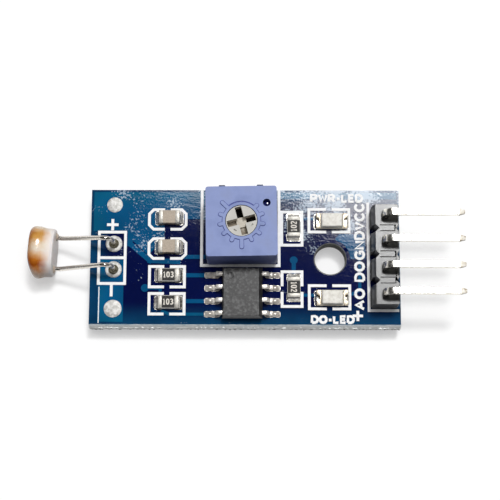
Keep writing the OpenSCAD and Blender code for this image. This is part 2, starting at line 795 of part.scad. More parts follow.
module comparator_body() {
    mid = chip_standoff + chip_body_h / 2;
    low = chip_standoff;
    high = chip_standoff + chip_body_h;
    bevel = 0.35;
    index_in = 0.85;
    w = chip_body_w / 2;
    l = chip_body_l / 2;
    d = chip_draft;
    color("#3b3b3b") at_comparator() difference() {
        intersection() {
            translate([0, l, 0]) rotate([90, 0, 0]) linear_extrude(chip_body_l)
                polygon([[-w + d, low], [w - d, low], [w, mid],
                    [w - bevel, high], [-w + d, high], [-w, mid]]);
            translate([-w, 0, 0]) rotate([90, 0, 90]) linear_extrude(chip_body_w)
                polygon([[-l + d, low], [l - d, low], [l, mid], [l - d, high], [-l + d, high], [-l, mid]]);
        }
        for (i = [0:7]) at_lead_seat(i) lead_solid();
        translate([index_in - w, l - index_in, high - 0.05]) cylinder(d = 0.6, h = through);
    }
}

// A gull wing lead: from inside the body out, down and out again to a flat foot
module lead_solid() {
    t = chip_lead_t;
    mid = chip_standoff + chip_body_h / 2;
    tip = chip_span / 2;
    foot_l = 0.42;
    path = rounded_path([
        [chip_body_w / 2 - chip_tuck, mid], [tip - foot_l - 0.16, mid],
        [tip - foot_l, t / 2], [tip, t / 2]
    ], 0.16, 4);
    translate([0, chip_lead_w / 2, 0]) rotate([90, 0, 0])
        linear_extrude(chip_lead_w) polygon(ribbon(path, t));
}

module comparator_lead(i) {
    color("#d9d6cf") at_comparator_lead(i) lead_solid();
}

// Capacitors and resistors

// The plated ends of a chip: caps over the ends, open along the sides if open_sides is true
module chip_ends(l, w, h, open_sides) {
    t = terminal_t;
    for (s = [0, 180]) rotate(s) difference() {
        translate([l / 2 - terminal_l, -w / 2, 0]) cube([terminal_l, w, h]);
        translate([0, open_sides ? -w : -w / 2 + t, t])
            cube([l / 2 - t, open_sides ? 2 * w : w - 2 * t, h - 2 * t]);
    }
}

module capacitor_body(i) {
    color("#b39a7c") at_capacitor(i) difference() {
        block([smd_l - 2 * terminal_t, smd_w, capacitor_h - 2 * terminal_t], terminal_t);
        chip_ends(smd_l, smd_w, capacitor_h, false);
    }
}

module capacitor_ends(i) {
    color("#d8d2c4") at_capacitor(i) chip_ends(smd_l, smd_w, capacitor_h, false);
}

module resistor_body(i) {
    color("#f0eee8") at_resistor(i)
        block([smd_l - 2 * terminal_t, smd_w, resistor_h - 2 * terminal_t], terminal_t);
}

module resistor_coat(i) {
    color("#26282b") at_resistor(i)
        block([smd_l - 2 * terminal_l, smd_w - 0.06, coat_t], resistor_h - terminal_t);
}

module resistor_ends(i) {
    color("#d8d2c4") at_resistor(i) chip_ends(smd_l, smd_w, resistor_h, true);
}

// Indicator lamps

module lamp_notches(r) {
    for (s = [-1, 1]) translate([s * led_l / 2, 0, -through]) cylinder(r = r, h = 3 * through);
}

module lamp_base(i) {
    color("#efe9da") at_lamp(i) difference() {
        block([led_l, led_w, led_base_t], terminal_t);
        lamp_notches(lamp_notch_r);
    }
}

module lamp_ends(i) {
    top = terminal_t + led_base_t;
    plate_l = (led_l - led_lens_l) / 2;
    color("#d8c9a2") at_lamp(i) {
        for (s = [0, 180], z = [0, top]) rotate(s) difference() {
            translate([led_lens_l / 2, -led_w / 2, z]) cube([plate_l, led_w, terminal_t]);
            translate([led_l / 2, 0, -through]) cylinder(r = lamp_notch_r - terminal_t, h = 3 * through);
        }
        intersection() {
            difference() {
                lamp_notches(lamp_notch_r);
                lamp_notches(lamp_notch_r - terminal_t);
            }
            block([led_l, led_w, led_base_t], terminal_t);
        }
    }
}

module lamp_lens(i) {
    z = terminal_t + led_base_t;
    h = led_h - z;
    w = led_w / 2 - 0.04;
    l = led_lens_l / 2;
    lean = 0.12;
    color("#f2f2ec") at_lamp(i) intersection() {
        translate([0, w, z]) rotate([90, 0, 0]) linear_extrude(2 * w)
            polygon([[-l, 0], [l, 0], [l - lean, h], [lean - l, h]]);
        translate([-l, 0, z]) rotate([90, 0, 90]) linear_extrude(2 * l)
            polygon([[-w, 0], [w, 0], [w - 0.05, h], [0.05 - w, h]]);
    }
}

// Header

// One pin: up through the board and the block, then level towards the tip, which is pointed
module header_pin(i) {
    path = rounded_path([[0, -tail_l], [0, pin_axis_z], [pin_reach, pin_axis_z]], pin_bend_r, 8);
    point_l = 0.6;
    point_w = pin_w * 0.55;
    color("#e6e0d2") translate([header_x, pin_row_y(i), 0]) difference() {
        translate([0, pin_w / 2, 0]) rotate([90, 0, 0]) linear_extrude(pin_w) polygon(ribbon(path, pin_w));
        for (s = [-1, 1]) {
            translate([pin_reach, 0, -through]) linear_extrude(pin_axis_z + 2 * through)
                polygon([[-point_l, s * pin_w / 2], [0, s * point_w / 2], [through, s * point_w / 2],
                    [through, s * pin_w], [-point_l, s * pin_w]]);
            translate([pin_reach, pin_w, pin_axis_z]) rotate([90, 0, 0]) linear_extrude(2 * pin_w)
                polygon([[-point_l, s * pin_w / 2], [0, s * point_w / 2], [through, s * point_w / 2],
                    [through, s * pin_w], [-point_l, s * pin_w]]);
        }
    }
}

module at_cell_joins() {
    for (i = [0:pin_count - 2]) translate([0, pin_row_y(i) - header_y - pin_pitch / 2]) children();
}

// Outline of the block from above. Where its cells join, a notch with a straight mouth comes in
// from the mounting hole's side and a small nick from the other.
module header_outline() {
    half = header_w / 2;
    back = (pin_count - 1) / 2 * pin_pitch + header_end;
    in_x = half - header_corner;
    in_y = back - header_corner;
    mouth = header_bevel[0] - half;
    w = header_notch_w;
    far = header_nick + through;
    difference() {
        polygon([[-half, -in_y], [-in_x, -back], [in_x, -back], [half, -in_y],
            [half, in_y], [in_x, back], [-in_x, back], [-half, in_y]]);
        at_cell_joins() {
            polygon([[-half - through, w], [mouth, w], [mouth + w, 0], [mouth, -w], [-half - through, -w]]);
            polygon([[half + through, far], [half - header_nick, 0], [half + through, -far]]);
        }
    }
}

// A groove round three sides of a rectangle on each join, open towards the notch
module header_grooves() {
    from = header_bevel[0] - header_w / 2 + header_notch_w + 0.05;
    to = header_w / 2 - groove_end_gap;
    at_cell_joins() difference() {
        translate([from, -groove_half_w]) square([to - from, 2 * groove_half_w]);
        translate([from - through, groove_line - groove_half_w])
            square([to - from + through - groove_line, 2 * (groove_half_w - groove_line)]);
    }
}

// Section of the block: square, with the upper edge towards the mounting hole bevelled
module header_section() {
    half = header_w / 2;
    polygon([[-half, 0], [half, 0], [half, header_w], [header_bevel[0] - half, header_w],
        [-half, header_w - header_bevel[1]]]);
}

module header_block() {
    row_l = pin_count * pin_pitch;
    color("#4a4a4c") translate([0, 0, board_top]) difference() {
        translate([header_x, header_y, 0]) intersection() {
            linear_extrude(header_w) header_outline();
            translate([0, row_l / 2, 0]) rotate([90, 0, 0]) linear_extrude(row_l) header_section();
        }
        at_header_pins() block([pin_w, pin_w, 3 * header_w], -header_w);
        translate([header_x, header_y, header_w - groove_depth])
            linear_extrude(groove_depth + through) header_grooves();
    }
}

// Solder

// A joint under the board: a cone on the ring and a plug that fills the plated hole
module joint_below(ring_d, hole_d, tip_d, h) {
    translate([0, 0, -copper_t - h]) cylinder(d1 = tip_d, d2 = ring_d, h = h);
    translate([0, 0, -copper_t]) cylinder(d = hole_d, h = pad_top + copper_t);
}

module pin_solder() {
    joint_h = tail_l - 0.25;
    color("#b9b6b0") difference() {
        union() {
            at_cell_holes() {
                joint_below(cell_ring_d + 0.1, cell_hole_d, cell_lead_d + 0.2, joint_h);
                translate([0, 0, pad_top]) cylinder(d1 = cell_ring_d - 0.2, d2 = cell_lead_d + 0.25, h = 0.3);
            }
            for (i = [0, 1]) translate([cell_hole_x, test_pad_y[i]]) {
                joint_below(1.5, test_hole_d, 0.8, 0.2);
                translate([0, 0, pad_top]) cylinder(d1 = test_pad_d[i] - 0.1, d2 = 0.9, h = 0.15);
            }
            at_header_pins() joint_below(1.8, header_hole_d, pin_w + 0.3, joint_h);
            at_trimmer_pins() joint_below(1.6, trimmer_hole_d, trimmer_pin_d + 0.25, joint_h);
        }
        for (s = [-1, 1]) cell_lead(s);
        at_header_pins() block([pin_w, pin_w, 4 * board_t], -2 * board_t);
        at_trimmer_pins() translate([0, 0, -2 * board_t]) cylinder(d = trimmer_pin_d, h = 4 * board_t);
        plug_tops();
    }
}

// What stands over the header's and the trimmer's holes: their plugs stop at the board's top
module plug_tops() {
    at_header_pins() translate([0, 0, board_top]) cylinder(d = header_hole_d + 0.2, h = through);
    at_trimmer_pins() translate([0, 0, board_top]) cylinder(d = trimmer_hole_d + 0.2, h = through);
}

// A fillet at each end of a chip: from the land's edge up the terminal
module end_fillets(l, w, reach, h) {
    toe = [reach - 0.04, 0];
    for (s = [0, 180]) rotate(s) translate([l / 2, w / 2, 0]) rotate([90, 0, 0]) linear_extrude(w)
        polygon([[0, 0], toe, [reach * 0.45, h * 0.3], [reach * 0.16, h * 0.65], [0.03, h], [0, h]]);
}

module chip_solder() {
    color("#c4c1ba") {
        for (i = [0, 1]) at_capacitor(i) end_fillets(smd_l, smd_w - 0.1, smd_land_to, 0.6 * capacitor_h);
        for (i = [0:3]) at_resistor(i) end_fillets(smd_l, smd_w - 0.1, smd_land_to, 0.72 * resistor_h);
        for (i = [0, 1]) at_lamp(i) end_fillets(led_l, led_w - 0.2, led_land_to, 0.32 * led_h);
    }
}

module comparator_solder() {
    toe = chip_land_to - chip_span / 2 - 0.03;
    color("#c4c1ba") for (i = [0:7]) at_comparator_lead(i)
        translate([chip_span / 2, chip_land_w / 2 - 0.04, 0]) rotate([90, 0, 0])
            linear_extrude(chip_land_w - 0.08)
                polygon([[0, 0], [toe, 0], [toe * 0.5, 0.06], [toe * 0.15, 0.12], [0, 0.17]]);
}

board();
top_copper();
bottom_copper();
tinned_pads();
legend_lines();
cell_ceramic();
cell_film();
cell_electrodes();
cell_coat();
cell_lead_north();
cell_lead_south();
trimmer_housing();
trimmer_rotor();
trimmer_seal();
trimmer_wiper();
trimmer_element();
trimmer_base();
trimmer_pin(0);  // trimmer_pin_1
trimmer_pin(1);  // trimmer_pin_2
trimmer_pin(2);  // trimmer_pin_3
comparator_body();
comparator_lead(0);  // comparator_lead_1
comparator_lead(1);  // comparator_lead_2
comparator_lead(2);  // comparator_lead_3
comparator_lead(3);  // comparator_lead_4
comparator_lead(4);  // comparator_lead_5
comparator_lead(5);  // comparator_lead_6
comparator_lead(6);  // comparator_lead_7
comparator_lead(7);  // comparator_lead_8
capacitor_body(0);  // capacitor_1_body
capacitor_ends(0);  // capacitor_1_ends
capacitor_body(1);  // capacitor_2_body
capacitor_ends(1);  // capacitor_2_ends
resistor_body(0);  // resistor_1_body
resistor_coat(0);  // resistor_1_coat
resistor_ends(0);  // resistor_1_ends
resistor_body(1);  // resistor_2_body
resistor_coat(1);  // resistor_2_coat
resistor_ends(1);  // resistor_2_ends
resistor_body(2);  // resistor_3_body
resistor_coat(2);  // resistor_3_coat
resistor_ends(2);  // resistor_3_ends
resistor_body(3);  // resistor_4_body
resistor_coat(3);  // resistor_4_coat
resistor_ends(3);  // resistor_4_ends
lamp_base(0);  // power_lamp_base
lamp_lens(0);  // power_lamp_lens
lamp_ends(0);  // power_lamp_ends
lamp_base(1);  // signal_lamp_base
lamp_lens(1);  // signal_lamp_lens
lamp_ends(1);  // signal_lamp_ends
header_block();
header_pin(0);  // header_pin_1
header_pin(1);  // header_pin_2
header_pin(2);  // header_pin_3
header_pin(3);  // header_pin_4
pin_solder();
chip_solder();
comparator_solder();
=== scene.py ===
"""Looks of the light sensor module.

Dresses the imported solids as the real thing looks: a blue circuit board with its white legend, the
photocell on bent leads, the setting trimmer, the comparator, chips and lamps, the pin header and
the solder joints, and sets the stage with its floor, lights and camera. Lengths in this file are in
millimetres in the part's own frame and become metres where a mesh is finished.
"""

import math

import bmesh
import bpy
from bpy.props import FloatProperty, FloatVectorProperty, PointerProperty
from bpy.types import Operator, Panel, PropertyGroup
from mathutils import Matrix, Vector, noise


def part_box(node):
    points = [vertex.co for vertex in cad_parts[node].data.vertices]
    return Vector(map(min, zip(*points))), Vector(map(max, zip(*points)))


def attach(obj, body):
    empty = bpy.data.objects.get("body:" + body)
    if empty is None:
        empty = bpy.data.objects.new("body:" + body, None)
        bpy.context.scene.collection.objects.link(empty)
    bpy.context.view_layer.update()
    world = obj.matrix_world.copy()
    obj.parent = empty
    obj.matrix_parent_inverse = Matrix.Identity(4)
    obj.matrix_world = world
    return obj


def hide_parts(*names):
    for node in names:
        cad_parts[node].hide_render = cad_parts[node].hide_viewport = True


bl_info = {
    "name": "Light sensor module",
    "version": (1, 0, 0),
    "blender": (4, 5, 0),
    "location": "View3D > Sidebar > Light sensor",
    "description": "Dresses the packed solids of a light sensor module and sets its stage",
    "category": "Object",
}

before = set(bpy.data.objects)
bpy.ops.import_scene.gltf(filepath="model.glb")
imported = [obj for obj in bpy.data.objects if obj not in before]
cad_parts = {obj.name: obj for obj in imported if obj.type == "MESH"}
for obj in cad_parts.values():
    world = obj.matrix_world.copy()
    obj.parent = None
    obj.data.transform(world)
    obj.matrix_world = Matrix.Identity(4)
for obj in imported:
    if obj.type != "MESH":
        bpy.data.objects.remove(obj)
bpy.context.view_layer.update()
MM = 0.001


# Small helpers

def linear(colour):
    """Linear red, green, blue and alpha of an sRGB hex code. A linear colour stays as it is."""
    if not isinstance(colour, str):
        return tuple(colour)
    parts = [int(colour[i:i + 2], 16) / 255 for i in (1, 3, 5)]
    return (*(p / 12.92 if p <= 0.04045 else ((p + 0.055) / 1.055) ** 2.4 for p in parts), 1.0)


def shades(colour, *shares):
    """Darker and lighter shades of a colour that a user may change, one for each share."""
    return [(*(part * share for part in tuple(colour)[:3]), 1.0) for share in shares]


def toward(angle):
    """Flat unit vector at an angle in radians from the X axis."""
    return Vector((math.cos(angle), math.sin(angle)))


def per_mm(size):
    """Scale that gives a pattern features of that size in millimetres on coordinates in metres."""
    return 1.0 / (size * MM)


def node_box(node):
    """Lowest and highest corner of a CAD node, in millimetres."""
    low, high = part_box(node)
    return low / MM, high / MM


def add_node(tree, kind, inputs=(), stops=(), **settings):
    """Adds a shader node. Its inputs, in order or by key, are values, sockets or other nodes."""
    node = tree.nodes.new("ShaderNode" + kind)
    for key, value in settings.items():
        setattr(node, key, value)
    for i, (place, colour) in enumerate(stops):
        band = node.color_ramp.elements
        stop = band[i] if i < len(band) else band.new(place)
        stop.position = place
        stop.color = linear(colour)
    for key, value in inputs.items() if isinstance(inputs, dict) else enumerate(inputs):
        if isinstance(value, bpy.types.Node):
            value = value.outputs[0]
        if isinstance(value, bpy.types.NodeSocket):
            tree.links.new(value, node.inputs[key])
        else:
            node.inputs[key].default_value = value
    return node


def start_material(name, colour, roughness, **shader):
    """A material with one Principled shader. Returns the material, its tree and the shader."""
    material = bpy.data.materials.new(name)
    material.use_nodes = True
    tree = material.node_tree
    tree.nodes.clear()
    inputs = {"Base Color": linear(colour), "Roughness": roughness}
    inputs.update({key.replace("_", " "): value for key, value in shader.items()})
    shade = add_node(tree, "BsdfPrincipled", inputs)
    add_node(tree, "OutputMaterial", {"Surface": shade})
    return material, tree, shade


def mottle(tree, shade, size, colours=(), rough=(), bump=0.0, contrast=0.2):
    """Cloudy grain of that size in millimetres: varies the colour, the roughness and the height."""
    place = add_node(tree, "TexCoord").outputs["Object"]
    cloud = add_node(tree, "TexNoise", {"Vector": place, "Scale": per_mm(size), "Detail": 3.0})
    if colours:
        step = 2 * contrast / (len(colours) - 1)
        stops = [(0.5 - contrast + step * i, colour) for i, colour in enumerate(colours)]
        band = add_node(tree, "ValToRGB", [cloud], stops)
        tree.links.new(band.outputs[0], shade.inputs["Base Color"])
    if rough:
        spread = add_node(tree, "MapRange", [cloud, *CLOUD_SPAN, *rough])
        tree.links.new(spread.outputs[0], shade.inputs["Roughness"])
    if bump:
        relief = add_node(tree, "Bump", {"Height": cloud, "Distance": bump * MM})
        tree.links.new(relief.outputs[0], shade.inputs["Normal"])
    return cloud


def plain_grain(name, size, colours, rough, bump=0.0, contrast=0.2, **shader):
    """A material of one even grain. Its roughness is one value, or varies between two."""
    varies = isinstance(rough, tuple)
    material, tree, shade = start_material(name, colours[0], rough[0] if varies else rough,
                                           **shader)
    mottle(tree, shade, size, colours, rough if varies else (), bump, contrast)
    return material


def merged(*nodes):
    """A bmesh of CAD nodes in metres, with doubles merged."""
    bm = bmesh.new()
    for node in nodes:
        bm.from_mesh(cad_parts[node].data)
    bmesh.ops.remove_doubles(bm, verts=bm.verts, dist=0.002 * MM)
    return bm


def copy_of(*nodes):
    """A bmesh of CAD nodes in metres, with doubles merged and flat faces joined."""
    bm = merged(*nodes)
    bmesh.ops.dissolve_limit(bm, angle_limit=math.radians(0.5), verts=bm.verts, edges=bm.edges)
    return bm


def soften(bm, width, where=None, segments=2):
    """Rounds sharp edges by that width in millimetres, those whose middle passes a test."""
    edges = [e for e in bm.edges
             if len(e.link_faces) == 2 and e.calc_face_angle() > SHARP_EDGE
             and (where is None or where((e.verts[0].co + e.verts[1].co) / 2 / MM))]
    bmesh.ops.bevel(bm, geom=edges, offset=width * MM, offset_type="OFFSET", affect="EDGES",
                    segments=segments, profile=0.5, material=-1, clamp_overlap=True)


def finish_piece(bm, name, materials, slot, body="module", replaces=(), rounding=0.0, segments=2,
                 sharp=32):
    """Makes a bmesh in metres a piece: rounds its edges, names its body; its slot is not used."""
    if rounding:
        soften(bm, rounding, segments=segments)
    mesh = bpy.data.meshes.new(name)
    bm.to_mesh(mesh)
    bm.free()
    for material in materials:
        mesh.materials.append(material)
    if "custom_normal" in mesh.attributes:
        mesh.attributes.remove(mesh.attributes["custom_normal"])
    mesh.shade_smooth()
    mesh.set_sharp_from_angle(angle=math.radians(sharp))
    piece = bpy.data.objects.new(name, mesh)
    bpy.context.scene.collection.objects.link(piece)
    even = piece.modifiers.new("even_shading", "WEIGHTED_NORMAL")
    even.keep_sharp = True
    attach(piece, body)
    if replaces:
        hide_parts(*replaces)


def assign(bm, choose):
    """Sets each face's material to the number that its normal and middle in millimetres give."""
    bm.normal_update()
    for face in bm.faces:
        face.material_index = int(choose(face.normal, face.calc_center_median() / MM))


def refine(node, name, material, slot, rounding=0.0, **how):
    """Makes a piece of a copy of a CAD node with rounded edges, and puts it in the node's place."""
    finish_piece(copy_of(node), name, (material,), slot, replaces=(node,), rounding=rounding, **how)


def turned(bm, profile, at=(0, 0), steps=32, material=0):
    """Turns a profile of (radius, height) in millimetres about the upright axis at a point."""
    old = set(bm.verts)
    verts = [bm.verts.new((r * MM, 0, z * MM)) for r, z in profile]
    edges = [bm.edges.new(pair) for pair in zip(verts, verts[1:])]
    bmesh.ops.spin(bm, geom=verts + edges, cent=(0, 0, 0), axis=(0, 0, 1), dvec=(0, 0, 0),
                   angle=math.tau, steps=steps, use_merge=True)
    made = [v for v in bm.verts if v not in old]
    bmesh.ops.remove_doubles(bm, verts=made, dist=0.0005 * MM)
    made = [v for v in bm.verts if v not in old]
    faces = list({f for v in made for f in v.link_faces})
    bmesh.ops.recalc_face_normals(bm, faces=faces)
    bmesh.ops.translate(bm, verts=made, vec=(at[0] * MM, at[1] * MM, 0))
    for face in faces:
        face.material_index = material


def sized(bm, verts, size, middle):
    """Scales the vertices of a unit shape to a size and moves it to a place, in millimetres."""
    bmesh.ops.scale(bm, verts=verts, vec=Vector(size) * MM)
    bmesh.ops.translate(bm, verts=verts, vec=Vector(middle) * MM)


def plate(bm, outline, low, high):
    """Adds a flat plate of that outline in millimetres between two heights."""
    face = bm.faces.new([bm.verts.new((x * MM, y * MM, low * MM)) for x, y in outline])
    grown = bmesh.ops.extrude_face_region(bm, geom=[face])["geom"]
    top = [v for v in grown if isinstance(v, bmesh.types.BMVert)]
    bmesh.ops.translate(bm, verts=top, vec=(0, 0, (high - low) * MM))
    bmesh.ops.recalc_face_normals(bm, faces=bm.faces)


def face_outwards(bm):
    """Turns each closed shell of a bmesh so that its faces point outwards."""
    bmesh.ops.recalc_face_normals(bm, faces=bm.faces)
    bm.normal_update()
    left = set(bm.faces)
    while left:
        shell, fringe = [], [left.pop()]
        while fringe:
            face = fringe.pop()
            shell.append(face)
            near = {other for v in face.verts for other in v.link_faces} & left
            left -= near
            fringe.extend(near)
        if sum(face.calc_center_median().dot(face.normal) * face.calc_area() for face in shell) < 0:
            bmesh.ops.reverse_faces(bm, faces=shell)


def wires(lines, width):
    """A bmesh of round strokes of that width in millimetres through lists of 3-D points."""
    curve = bpy.data.curves.new("strokes", "CURVE")
    curve.dimensions = "3D"
    curve.bevel_depth = width / 2 * MM
    curve.bevel_resolution = 3
    for points in lines:
        spline = curve.splines.new("POLY")
        spline.points.add(len(points) - 1)
        for slot, point in zip(spline.points, points):
            slot.co = (*(c * MM for c in point), 1)
    holder = bpy.data.objects.new("strokes", curve)
    bpy.context.scene.collection.objects.link(holder)
    mesh = bpy.data.meshes.new_from_object(holder)
    bm = bmesh.new()
    bm.from_mesh(mesh)
    bpy.data.objects.remove(holder)
    bpy.data.curves.remove(curve)
    bpy.data.meshes.remove(mesh)
    bmesh.ops.holes_fill(bm, edges=[e for e in bm.edges if e.is_boundary], sides=0)
    face_outwards(bm)
    return bm


def printed(lines, width, low, high):
    """Flat strokes of that width through 2-D points, between two heights in millimetres."""
    middle = (low + high) / 2
    bm = wires([[(*point, middle) for point in points] for points in lines], width)
    for v in bm.verts:
        # A little of the round section stays as a dome
        dome = 0.06 * (v.co.z - middle * MM)
        v.co.z = (low if dome < -1e-7 else high) * MM + dome
    return bm


def joined(bm, other):
    """Adds another bmesh to a bmesh."""
    spare = bpy.data.meshes.new("spare")
    other.to_mesh(spare)
    other.free()
    bm.from_mesh(spare)
    bpy.data.meshes.remove(spare)


def dress(material, *nodes):
    """Gives CAD nodes that stay in view their real finish."""
    for node in nodes:
        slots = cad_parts[node].data.materials
        slots.clear()
        slots.append(material)


# Sizes and colours a user would change

def colour_choice(name, description, code):
    """A colour in the panel."""
    return FloatVectorProperty(name=name, description=description, subtype="COLOR", size=4,
                               default=linear(code), min=0, max=1)


def length_choice(name, description, size, least, most):
    """A length in the panel, given in millimetres."""
    return FloatProperty(name=name, description=description, unit="LENGTH",
                         default=size * MM, min=least * MM, max=most * MM)


class BoardLooks(PropertyGroup):
    mask: colour_choice("Solder mask", "Colour of the mask over bare laminate", "#020c3e")
    copper: colour_choice("Masked copper", "Colour of the mask over copper", "#044c77")
    ink: colour_choice("Legend ink", "Colour of the printed legend", "#f4f4f4")
    stroke: length_choice("Stroke", "Width of the lettering's strokes", 0.27, 0.1, 0.3)


class PhotocellLooks(PropertyGroup):
    ceramic: colour_choice("Ceramic", "Colour of the photocell's disc", "#f2eae7")
    lead: length_choice("Lead", "Diameter of the photocell's leads", 0.45, 0.3, 0.6)


class TrimmerLooks(PropertyGroup):
    plastic: colour_choice("Housing", "Colour of the trimmer's housing", "#7c8ab9")
    rotor: colour_choice("Rotor", "Colour of the trimmer's rotor", "#bdbbb5")
    rounding: length_choice("Edge rounding", "Radius on the housing's edges", 0.07, 0.0, 0.2)


class HeaderLooks(PropertyGroup):
    plastic: colour_choice("Block", "Colour of the header's block", "#171718")
    rounding: length_choice("Edge rounding", "Radius on the block's edges", 0.08, 0.0, 0.2)


class StageLooks(PropertyGroup):
    distance: length_choice("Camera distance", "From the camera to the middle of the view", 136.9,
                            50, 1000)
    tilt: FloatProperty(name="Camera tilt", description="Lean of the camera from straight above",
                        default=math.radians(12), subtype="ANGLE", min=0.0, max=1.5)
    roll: FloatProperty(name="Camera roll", description="Turn of the camera about its own axis",
                        default=math.radians(-0.16), subtype="ANGLE", min=-0.2, max=0.2)
    key: FloatProperty(name="Key light",
                       description="Share of a plain exposure that the key light gives",
                       default=0.66, min=0.0, max=2.0)
    fill: FloatProperty(name="Fill light",
                        description="Share of a plain exposure that the room gives", default=0.36,
                        min=0.0, max=2.0)
    floor: colour_choice("Floor", "Colour of the floor", "#fdfdfd")


# Levels and places, in millimetres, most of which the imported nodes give

BOARD_LOW, BOARD_HIGH = node_box("board")
BOARD_MIDDLE = (BOARD_LOW + BOARD_HIGH) / 2
TOP = BOARD_HIGH.z
PAD_LOW, PAD_TOP = (corner.z for corner in node_box("tinned_pads"))
LEAD_LOW, LEAD_HIGH = node_box("cell_lead_north")
LEAD_RADIUS = 0.225
FLOOR, HOLE_X = LEAD_LOW.z, LEAD_HIGH.x - LEAD_RADIUS
MOUNT_HOLE_RADIUS = 1.5
# The long sides' torn middle, and how far it stands out on the near and the far side
SCORE_LOW, SCORE_HIGH = 0.22, 1.1
TORN_NEAR, TORN_FAR = 0.27, 0.04
# How far in from the board's long sides the two test pads lie, and how high the ink stands
TEST_PAD_INSET, INK_RISE = 1.52, 0.055
# How far masked copper sinks into the board and stands above it
FILM_SINK, FILM_RISE = 0.005, 0.018
TRIMMER_AT, TRIMMER_TURN = Vector((-8.59, 2.76)), math.radians(1)
PIN_PITCH = 2.54
# Edges bent more than this are rounded, and clouds of noise keep mostly to this span
SHARP_EDGE = math.radians(30)
CLOUD_SPAN = 0.3, 0.7
# Half of the photo's width and its lens's focal length, in its pixels, and the middle of the view
HALF_FRAME, FOCAL = 250, 1411
VIEW_MIDDLE = Vector((-7.775, 0.873, TOP))


def pin_place(node):
    """Axis of an upright pin from its node's lowest end."""
    co = [v.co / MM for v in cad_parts[node].data.vertices]
    low = min(p.z for p in co)
    foot = [p for p in co if p.z < low + 0.05]
    return sum(p.x for p in foot) / len(foot), sum(p.y for p in foot) / len(foot)


# Materials

def mask_material(name, colour, edge_colour):
    """Screen-printed epoxy solder mask: glossy, with a fine orange peel and faint screen streaks.

    Light that enters the laminate at the board's edges makes the mask paler and greener along them.
    """
    material, tree, shade = start_material(name, colour, 0.06, IOR=1.5)
    place = add_node(tree, "TexCoord").outputs["Object"]
    split = add_node(tree, "SeparateXYZ", [place])
    half = (BOARD_HIGH - BOARD_LOW) / 2 * MM
    gaps = []
    for axis in (0, 1):
        off = add_node(tree, "Math", [split.outputs[axis], BOARD_MIDDLE[axis] * MM],
                       operation="SUBTRACT")
        size = add_node(tree, "Math", [off], operation="ABSOLUTE")
        gaps.append(add_node(tree, "Math", [half[axis], size], operation="SUBTRACT"))
    near = add_node(tree, "Math", gaps, operation="MINIMUM")
    glow = add_node(tree, "MapRange", [near, 0.0, 2.3 * MM, 1.0, 0.0],
                    interpolation_type="SMOOTHSTEP")
    cloud = add_node(tree, "TexNoise", {"Vector": place, "Scale": per_mm(2.5), "Detail": 2.0})
    tone = add_node(tree, "MapRange", [cloud, *CLOUD_SPAN, 0.82, 1.14])
    mix = add_node(tree, "Mix", {0: glow, 6: linear(colour), 7: linear(edge_colour)},
                   data_type="RGBA")
    tinted = add_node(tree, "VectorMath", {0: mix.outputs[2], "Scale": tone}, operation="SCALE")
    # Pale specks are painted in patches over it, as painted highlights for the glare's glints:
    # more to the far side, fewer at the left end and most in the far right corner, where the
    # weights to the right and away both hold
    speck = add_node(tree, "TexNoise", {"Vector": place, "Scale": per_mm(0.2), "Detail": 3.0})
    patch = add_node(tree, "TexNoise", {
        "Vector": place, "W": 3.1, "Scale": per_mm(2.2), "Detail": 1.0}, noise_dimensions="4D")
    # Each weight's axis, the span that it changes over and what it goes from and to
    spans = ((1, -4, 6.8, -0.14, 0.1), (0, -21.8, -20, -0.16, 0.0), (0, -6, -3, 0.0, 0.19),
             (1, 1, 4, 0.0, 0.19))
    far, left, east, north = [
        add_node(tree, "MapRange", [split.outputs[axis], low * MM, high * MM, least, most])
        for axis, low, high, least, most in spans]
    dense = add_node(tree, "Math", [east, north], operation="MINIMUM")
    for weight in (far, left, patch, speck):
        dense = add_node(tree, "Math", [dense, weight], operation="ADD")
    cover = add_node(tree, "MapRange", [dense, 1.18, 1.3, 0.0, 0.65])
    # Painted highlights: the pale specks mixed into the mask's colour
    glint_specked = add_node(tree, "Mix", {0: cover, 6: tinted, 7: linear("#b9c8d6")}, data_type="RGBA")
    tree.links.new(glint_specked.outputs[2], shade.inputs["Base Color"])
    peel = add_node(tree, "TexNoise", {"Vector": place, "Scale": per_mm(0.2), "Detail": 1.0})
    relief = add_node(tree, "Bump", {"Height": peel, "Distance": 0.0026 * MM})
    drawn = add_node(tree, "Mapping", {"Vector": place, "Scale": (0.2, 1.0, 1.0)})
    streak = add_node(tree, "TexNoise", {"Vector": drawn, "Scale": per_mm(0.28), "Detail": 1.0})
    swell = add_node(tree, "Bump", {"Height": streak, "Distance": 0.002 * MM, "Normal": relief})
    tree.links.new(swell.outputs[0], shade.inputs["Normal"])
    return material


def laminate_material(name, ragged_by, stops):
    """Glass-epoxy laminate, pale and chalky, with colours that change raggedly from foot to top.

    It glows a little: a painted glow of its own colour that lightens its sides.
    """
    # Its emission is a painted glow, not a lamp
    material, tree, shade = start_material(name, stops[-1][1], 0.75, Emission_Strength=0.11)
    place = add_node(tree, "TexCoord").outputs["Object"]
    split = add_node(tree, "SeparateXYZ", [place])
    ragged = add_node(tree, "TexNoise", {"Vector": place, "Scale": per_mm(0.6), "Detail": 2.0})
    shift = add_node(tree, "Math", [ragged, ragged_by * MM, -ragged_by / 2 * MM],
                     operation="MULTIPLY_ADD")
    height = add_node(tree, "Math", [split.outputs[2], shift], operation="ADD")
    level = add_node(tree, "MapRange", [height, 0.0, TOP * MM, 0.0, 1.0])
    band = add_node(tree, "ValToRGB", [level], stops)
    tree.links.new(band.outputs[0], shade.inputs["Base Color"])
    tree.links.new(band.outputs[0], shade.inputs["Emission Color"])
    plies = add_node(tree, "TexNoise", {"Vector": place, "Scale": per_mm(0.12), "Detail": 3.0})
    relief = add_node(tree, "Bump", {"Height": plies, "Distance": 0.012 * MM})
    tree.links.new(relief.outputs[0], shade.inputs["Normal"])
    return material


